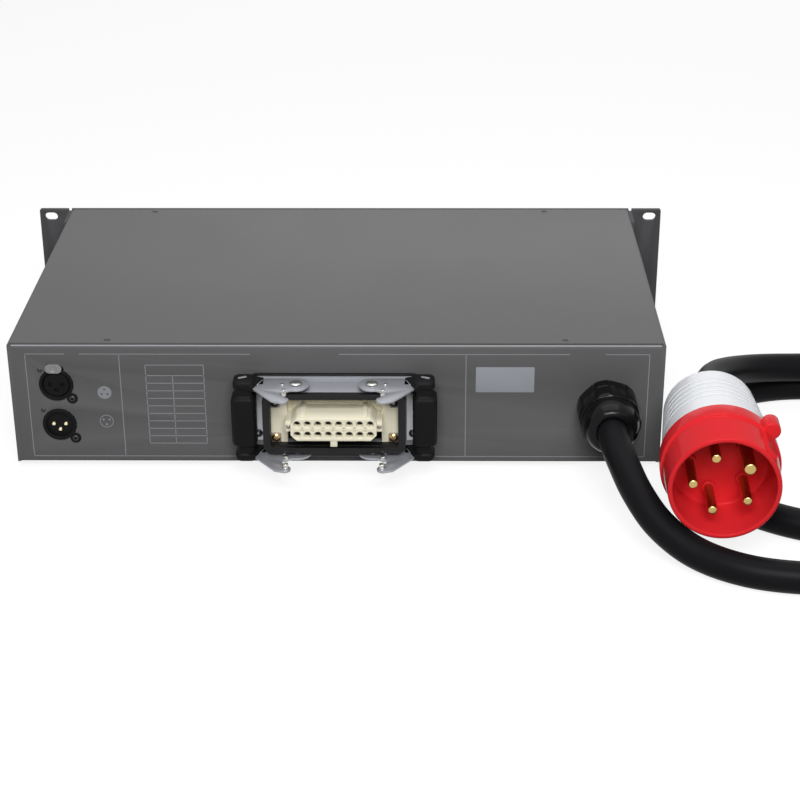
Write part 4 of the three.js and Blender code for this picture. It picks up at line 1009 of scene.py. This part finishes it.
def makeLever(name, side):
    px, py = outlet["x"] + side * lever["pivotX"], lever["pivotY"]
    cheeks = [risen(cheekOutline(side), *sorted(cheekLevels(rise))) for rise in (-1, 1)]
    web = px + side * (handle["inner"] + handle["web"])
    outside = web + side * lever["plate"]
    depth = (py + handle["back"] + handle["webBack"], py + handle["front"] - handle["webFront"])
    arms = [block((px + side * lever["backIn"], outside), depth, cheekLevels(rise)) for rise in (-1, 1)]
    bridge = block((web, outside), depth, (cheekLevels(-1)[1], cheekLevels(1)[1]))
    body = f"lever_{name}"
    addPiece(f"{body}_stirrup", joined(*cheeks, *arms, bridge), "zinc", [f"{body}_bail"], body, 0.35)
    r, long, top = lever["peg"], lever["pegLong"], lever["plate"] + 0.7
    profile = [(r, -long, 0.4), (r, 0.1), (r * 0.7, 0.1), (r * 0.7, top, 0.5)]
    studs = [(profile, u, v, rise, 28) for rise in (-1, 1) for u, v in lever["pegs"]]
    # only the lower cheeks have a stud at the nose
    wide, slim, tall = lever["noseWide"], lever["noseWide"] * 0.8, lever["noseLong"]
    profile = [(slim, -tall, 0.5), (slim, -0.9), (wide, -0.9, 0.2), (wide, 0.2)]
    studs.insert(len(lever["pegs"]), (profile, *lever["nose"], -1, 32))
    pegs = [turned(shape, at(px + side * u, py + v, cheekLevels(rise)[0]), sides, upward * rise)
            for shape, u, v, rise, sides in studs]
    addPiece(f"{body}_pegs", joined(*pegs), "silver", (), body)
    makeGrip(body, side, px, py)


def gripRings(side, px, py):
    # rings up the grip: rounded tips, a flange at each end, a slim neck and a fat middle
    g = handle
    x0, x1, y0, y1 = g["inner"], g["inner"] + g["thick"], g["back"], g["front"]
    half, neck = g["long"] / 2, g["neck"]
    levels = [(half - down, inset) for down, inset in g["tip"]]
    levels += [(neck[1] + 0.8, 0), (neck[1], g["neckIn"]), (neck[0], g["neckIn"]),
               (g["middle"], -g["bulge"] * 0.8), (g["middle"] - 2.5, -g["bulge"])]
    levels += [(-z, inset) for z, inset in reversed(levels)]
    rings = []
    for z, inset in levels:
        low, high = max(inset, 0), min(inset, 0)
        cx, cy = (x0 + x1 - high) / 2, (y0 + y1 - high) / 2
        outline = roundedRect(0, 0, x1 - x0 - 2 * low - high, y1 - y0 - 2 * low - high, g["corner"], 6)
        rings.append([at(px + side * (cx + u), py + cy + v, outlet["z"] + z) for u, v in outline])
    return rings


def makeGrip(body, side, px, py):
    g = handle
    half = g["long"] / 2
    # each cap slopes from the column's top down to the cheek's slanted edge
    edge = [(lever["backIn"] + 0.3, -lever["disc"]), (lever["outer"] + 0.3, lever["outerY"]),
            (g["inner"] + g["capIn"], lever["outerY"] - g["capSlant"]),
            (g["inner"] + g["capIn"], -lever["disc"])]
    foot = outlet["high"] / 2 + lever["gap"] - 1.2
    near, far = (half - down for down in g["capDown"])
    tops = (near, near, far, far)
    caps = [skin([[at(px + side * u, py + v, outlet["z"] + rise * z)
                   for (u, v), z in zip(edge, heights)] for heights in ((foot,) * 4, tops)])
            for rise in (-1, 1)]
    column = skin(gripRings(side, px, py))
    addPiece(f"{body}_handle", joined(column, *caps), "black", [f"{body}_grip"], body, 0.6, 3)
    long, wide = g["slot"]
    turn = math.radians(g["slotTurn"])
    atX, atY = px + side * (g["inner"] + g["slotAt"][0]), py + g["slotAt"][1]
    bars = []
    for rise in (-1, 1):
        flat = roundedRect(0, 0, long, wide, wide / 2 - 0.01, 6)
        outline = [(atX + side * (u * math.cos(turn) - v * math.sin(turn)),
                    atY + u * math.sin(turn) + v * math.cos(turn)) for u, v in flat]
        z = outlet["z"] + rise * half
        bars.append(risen(outline, *sorted((z - rise * 0.5, z + rise * 0.12))))
    addPiece(f"{body}_web_ends", joined(*bars), "zinc", (), body, 0.1)


makeHousing()
makeInsert()
makeInsertScrews()
makeLever("left", -1)
makeLever("right", 1)
print("load outlet")

# Cable gland
gland = {
    "x": -179.5, "z": 46.0, "flats": 39.0, "bodyLong": 9.0, "nutFrom": 9.3, "hexLong": 13.0,
    "nutLong": 28.5, "corner": 20.6, "shoulder": 19.4, "dome": 19.0, "mouth": 12.0, "lip": 10.3,
    "lipOut": 11.0, "thread": 15.0, "threadBack": -9.0, "lockFlats": 42.0, "lockCorner": 23.6,
    "cones": (19.9, 20.0, 19.3),
}


def nutRings(centre, stations, flats, sides=96, axis=ahead, corners=6):
    # rings of a hexagon that a turned cone cuts back: stations are (place, cone radius)
    side = axis.orthogonal().normalized()
    other = axis.cross(side)
    wedge = 2 * math.pi / corners
    rings = []
    for place, cone in stations:
        ring = []
        for i in range(sides):
            a = 2 * math.pi * i / sides
            flat = flats / 2 / math.cos((a + wedge / 2) % wedge - wedge / 2)
            r = min(flat, cone) * mm
            ring.append(centre + axis * place * mm + (side * math.cos(a) + other * math.sin(a)) * r)
        rings.append(ring)
    return rings


def makeGland():
    g = gland
    centre = at(g["x"], 0, g["z"])
    corner, shoulder, back = g["corner"], g["shoulder"], g["threadBack"]
    long = g["bodyLong"]
    foot, brow, neck = g["cones"]
    stations = [(0, foot), (0.6, corner), (long - 1, corner), (long - 0.3, brow + 0.1),
                (long, shoulder)]
    body = skin(nutRings(centre, stations, g["flats"]))
    thread = turned([(g["thread"], back, 0.5), (g["thread"], 2)], centre, 64)
    addPiece("gland_base", joined(body, thread), "nylon", ["gland_body"], smooth=28)
    start, end = g["nutFrom"], g["nutFrom"] + g["nutLong"]
    hexEnd, lip = start + g["hexLong"], g["lip"]
    domeFrom, mouth = hexEnd + 0.5, g["mouth"] + 0.3
    stations = [(start, shoulder), (start + 0.8, corner), (hexEnd - 1.2, corner), (hexEnd, brow),
                (domeFrom, neck)]
    for k in range(9):
        inward, along = polar(1, 90 * k / 8)
        stations.append((domeFrom + (end - domeFrom) * along, mouth + (g["dome"] - mouth) * inward))
    bore = turned([(lip, end - 3), (lip, end - 1.2, 0.6), (g["lipOut"], end + 1)], centre, 64)
    nut = carved(skin(nutRings(centre, stations, g["flats"])), bore)
    addPiece("gland_dome", nut, "nylon", ["gland_nut"], smooth=28)
    corner = g["lockCorner"]
    stations = [(-7.8, corner - 1.1), (-7.2, corner), (-2.4, corner), (-1.8, corner - 1.1)]
    ring = skin(nutRings(centre, stations, g["lockFlats"]))
    addPiece("gland_lock_ring", ring, "nylon", ["gland_locknut"], smooth=28)


makeGland()
print("gland")

# Plug, in a frame of its own: the mouth at the origin facing +Y
plug = {
    "x": -238.1, "y": 129.1, "z": 54.4, "yaw": 2.69, "rim": 34.1, "wall": 3.0, "cup": 37.0,
    "collar": 37.0, "collarFrom": -41.5, "collarTo": -28.0, "bodyFrom": -41.8, "bodyRadius": 35.4,
    "bodyEnd": 29.5, "back": -108.0, "shoulder": 3.2, "smoothEnd": 15.5, "grooves": 5,
    "groovePitch": 7.2, "grooveDeep": 1.5, "grooveWide": 2.2, "lug": 5.6, "lugReach": 38.6,
    "lugAngle": 139.0, "keyHalf": 4.0, "pinCircle": 18.5, "pin": 3.0, "earth": 4.0,
    "earthAngle": 144.0, "pins": 5, "pinBack": -38.2, "pinTip": -5.2, "nut": 17.2, "nutFlats": 33.2,
    "keyNose": ((-3.6, 2.2), (-3.0, 1.4)),
}
plugTurn = Matrix.Translation(at(plug["x"], plug["y"], plug["z"])) @ Matrix.Rotation(
    -math.radians(plug["yaw"]), 4, "Z")
plugAxis = plugTurn.to_3x3() @ ahead


def onPlug(x, y, z):
    return plugTurn @ Vector((x * mm, y * mm, z * mm))


def makeShroud():
    p = plug
    rimR, inner, start, end = p["rim"], p["rim"] - p["wall"], p["collarFrom"], p["collarTo"]
    profile = [(p["collar"], start, 1.0), (p["collar"], end, 2.2), (rimR + 1.2, end + 0.2, 1.0),
               (rimR, 0, 1.4), (inner, 0, 1.2), (inner - 0.3, -p["cup"], 2.0)]
    shell = turned(profile, onPlug(0, 0, 0), 128, plugAxis)
    u, v = polar(1, p["lugAngle"])
    outward, across = Vector((u, 0, v)), Vector((-v, 0, u))
    lug = turned([(p["lug"], start, 0.6), (p["lug"], end, 1.4)],
                 onPlug(*(outward * p["lugReach"])), 40, plugAxis)
    half = p["keyHalf"]
    rings = []
    for y, rise in ((end - 1, 2.4), *p["keyNose"]):
        root, reach = rimR - 1.5, rimR + rise
        corners = ((root, -half), (reach, -half), (reach, half), (root, half))
        rings.append([plugTurn @ ((outward * u + across * v + ahead * y) * mm) for u, v in corners])
    addPiece("plug_shroud_moulded", joined(shell, lug, skin(rings)), "red", ["plug_shroud"])


def makePins():
    p = plug
    floor, back, tip = -p["cup"], p["pinBack"], p["pinTip"]
    collars = []
    for k in range(p["pins"]):
        u, v = polar(p["pinCircle"], p["earthAngle"] + 360 / p["pins"] * k)
        place = onPlug(u, 0, v)
        name, r = (f"plug_pin_{k}", p["pin"]) if k else ("plug_pin_earth", p["earth"])
        pin = turned([(r, back), (r, tip, r * 0.9)], place, 40, plugAxis, 8)
        addPiece(name + "_turned", pin, "brass", [name])
        low, high, near = floor - 0.5, floor + 3, r + 0.1
        profile = [(near, low), (r + 1.6, low), (r + 1.4, high, 0.5), (near, high), (near, low)]
        collars.append(turned(profile, place, 40, plugAxis))
    addPiece("plug_pin_collars", joined(*collars), "red")


def sleeveTree(names):
    # a sleeve swept along a line: it tapers, and a band of grooves runs round it before the rounded end
    inputs = {"Line": "Geometry", **dict.fromkeys(names, "Float"), "Finish": "Material"}
    wires = startTree("grooved_sleeve", inputs, "Sleeve")
    line, first, last, length, shoulder, smooth, pitch, wide, deep, band, look = wires
    curve = line.node("GeometryNodeMeshToCurve", {"Mesh": line})
    dense = line.node("GeometryNodeResampleCurve", {"Curve": curve, "Count": 361})
    along = line.node("GeometryNodeSplineParameter", out="Length")
    left = length - along
    taper = first + (last - first) * (along / length)
    inBand = (left > smooth) * (left < smooth + band)
    phase = line.maths("FRACT", (left - smooth) / pitch)
    slope = line.maths("ABSOLUTE", (phase * pitch - wide / 2) / (wide / 2))
    valley = line.maths("MAXIMUM", 1 - slope, 0.0)
    edge = line.maths("MAXIMUM", 1 - left / shoulder, 0.0)
    rounding = shoulder * (1 - line.maths("SQRT", line.maths("MAXIMUM", 1 - edge * edge, 0.0)))
    radius = taper - inBand * valley * deep - rounding
    shaped = line.node("GeometryNodeSetCurveRadius", {"Curve": dense, "Radius": radius})
    # the groove mask, stored for the finish to paint shade into the grooves
    shaped = line.node("GeometryNodeStoreNamedAttribute", {"Geometry": shaped, "Name": "groove",
                                                           "Value": inBand * valley}, domain="POINT")
    ring = line.node("GeometryNodeCurvePrimitiveCircle", {"Resolution": 128, "Radius": 1.0})
    swept = line.node("GeometryNodeCurveToMesh", {"Curve": shaped, "Profile Curve": ring,
                                                  "Fill Caps": True, "Scale": radius})
    return endTree(swept, look)


def makeSleeve():
    p = plug
    mesh = bpy.data.meshes.new("sleeve_line")
    mesh.from_pydata([onPlug(0, p["bodyFrom"], 0), onPlug(0, p["back"], 0)], [(0, 1)], [])
    values = {
        "Start Radius": p["bodyRadius"], "End Radius": p["bodyEnd"],
        "Length": p["bodyFrom"] - p["back"], "Shoulder": p["shoulder"], "Smooth End": p["smoothEnd"],
        "Pitch": p["groovePitch"], "Groove Width": p["grooveWide"], "Groove Depth": p["grooveDeep"],
        "Groove Band": p["grooves"] * p["groovePitch"],
    }
    values = {name: value * mm for name, value in values.items()}
    bm = bmesh.new()
    bm.from_mesh(grown(mesh, sleeveTree(values), values | {"Finish": finishes["grooved"][1]}))
    bmesh.ops.remove_doubles(bm, verts=bm.verts, dist=1e-6)
    bmesh.ops.recalc_face_normals(bm, faces=bm.faces)
    addPiece("plug_body_grooved", bm, "grooved", ["plug_body"])


def makePlugNut():
    start, r = plug["back"] - 0.3, plug["nut"]
    stations = [(start, r - 1), (start - 1, r), (start - 8, r), (start - 11, r - 1.6),
                (start - 12, r - 3.6)]
    rings = nutRings(onPlug(0, 0, 0), stations, plug["nutFlats"], 96, plugAxis, 12)
    addPiece("plug_nut_turned", skin(rings), "white", ["plug_gland_nut"], smooth=28)


makeShroud()
makePins()
makeSleeve()
makePlugNut()
print("plug")

# Front: breakers, window, buttons; and the pieces inside
button = {"radius": 4.6, "dish": 2.4, "brimAt": 5.3, "brim": 5.8, "brimThick": 1.0, "stem": 2.3}


def makeFront():
    dressed("breaker_bank", "light", 0.5)
    for i in range(1, 7):
        dressed(f"breaker_toggle_{i}", "black", 0.5, f"toggle_{i}")
    b, brimTo = button, button["brimAt"] + button["brimThick"]
    for i in range(1, 5):
        middle, half = boxOf(f"menu_button_{i}")
        long = 2 * half.y / mm
        profile = [(0, 0.25), (b["dish"], 0.1), (b["radius"], 0, 0.7), (b["radius"], b["brimAt"]),
                   (b["brim"], b["brimAt"], 0.2), (b["brim"], brimTo, 0.2), (b["stem"], brimTo),
                   (b["stem"], long)]
        cap = turned(profile, Vector((middle.x, middle.y - half.y, middle.z)), 40)
        addPiece(f"menu_button_{i}_cap", cap, "black", [f"menu_button_{i}"], f"button_{i}")
    dressed("display_window", "lens", 0.3)
    dressed("din_rail", "zinc", 0.15)


def makeInside():
    for node, look, width in (("control_board", "board", 0), ("power_board", "board", 0),
                              ("heatsink", "aluminium", 0.2), ("fan_frame", "black", 0.3)):
        dressed(node, look, width)
    dressed("fan_rotor", "black", 0.15, "rotor")
    dressed("transformer", "steel", 0.4)
    dressed("mains_terminals", "cream", 0.3)
    for i in range(1, 7):
        middle, half = boxOf(f"choke_{i}")
        tube = half.z / mm
        ring = half.x / mm - tube
        turns = (polar(tube, 360 * k / 16) for k in range(16))
        profile = [(ring + u, v) for u, v in turns]
        coil = turned(profile + profile[:1], middle, 48, upward)
        bmesh.ops.remove_doubles(coil, verts=coil.verts, dist=1e-6)
        addPiece(f"choke_{i}_wound", coil, "copper", [f"choke_{i}"])


makeFront()
makeInside()
print("front and inside")

# Light, floor and background
studio = {"fill": 0.06, "white": 1.0, "floorHalf": 4.0, "floorGlow": 0.85, "floorShade": 0.2}
spark = {"size": (0.16, 0.16), "watts": 2.8}
lamps = {
    "key": {"place": (-0.1, 1.5, 1.2), "size": (0.9, 0.8), "watts": 28.0},
    "top": {"place": (-0.1, -0.15, 1.6), "size": (1.6, 1.2), "watts": 9.5},
    "spark_left": {"place": (0.6, 1.3, 1.65), **spark},
    "spark_middle": {"place": (-0.15, 1.4, 1.65), **spark},
    "spark_right": {"place": (-0.95, 1.3, 1.65), **spark},
    "back": {"place": (-0.24, -1.8, 0.7), "size": (1.3, 0.6), "watts": 3.0},
}
aimAt = (-0.1, 0.05, 0.05)


def makeWorld():
    # white where the camera sees it, directly or in a reflection, and a faint fill for the rest
    world = bpy.data.worlds.new("studio")
    bpy.context.scene.world = world
    world.use_nodes = True
    tree = world.node_tree
    start = Wire(tree, None)
    path = tree.nodes.new("ShaderNodeLightPath")
    seen = [Wire(tree, path.outputs[name]) for name in
            ("Is Camera Ray", "Is Glossy Ray", "Is Transmission Ray")]
    shows = start.maths("MAXIMUM", start.maths("MAXIMUM", seen[0], seen[1]), seen[2])
    strength = shows * (studio["white"] - studio["fill"]) + studio["fill"]
    back = tree.nodes["Background"]
    back.inputs["Color"].default_value = (1, 1, 1, 1)
    tree.links.new(strength.socket, back.inputs["Strength"])


def makeLamp(name, values):
    data = bpy.data.lights.new(name, "AREA")
    data.shape = "RECTANGLE"
    data.size, data.size_y = values["size"]
    data.energy = values["watts"]
    place = Vector(values["place"])
    turn = (Vector(aimAt) - place).to_track_quat("-Z", "Y").to_matrix().to_4x4()
    linked(name, data).matrix_world = Matrix.Translation(place) @ turn


def makeFloor():
    half = studio["floorHalf"]
    mesh = bpy.data.meshes.new("floor")
    corners = [(-half, -half, 0), (half, -half, 0), (half, half, 0), (-half, half, 0)]
    mesh.from_pydata(corners, [], [(0, 1, 2, 3)])
    floor = linked("floor", mesh)
    material = bpy.data.materials.new("floor_white")
    material.use_nodes = True
    tree = material.node_tree
    tree.nodes.clear()
    start = Wire(tree, None)
    path = start.node("ShaderNodeLightPath")
    seen = start.maths("MAXIMUM", path, start.node("ShaderNodeLightPath", out="Is Glossy Ray"))
    glow = start.node("ShaderNodeEmission", {"Strength": seen * studio["floorGlow"]})
    shade = studio["floorShade"]
    matt = start.node("ShaderNodeBsdfDiffuse", {"Color": (shade, shade, shade, 1)})
    both = start.node("ShaderNodeAddShader", {0: glow, 1: matt})
    leave = tree.nodes.new("ShaderNodeOutputMaterial")
    tree.links.new(both.socket, leave.inputs["Surface"])
    mesh.materials.append(material)


makeWorld()
for name, values in lamps.items():
    makeLamp(name, values)
makeFloor()
bpy.context.scene.view_settings.view_transform = "Standard"
print("light and floor")
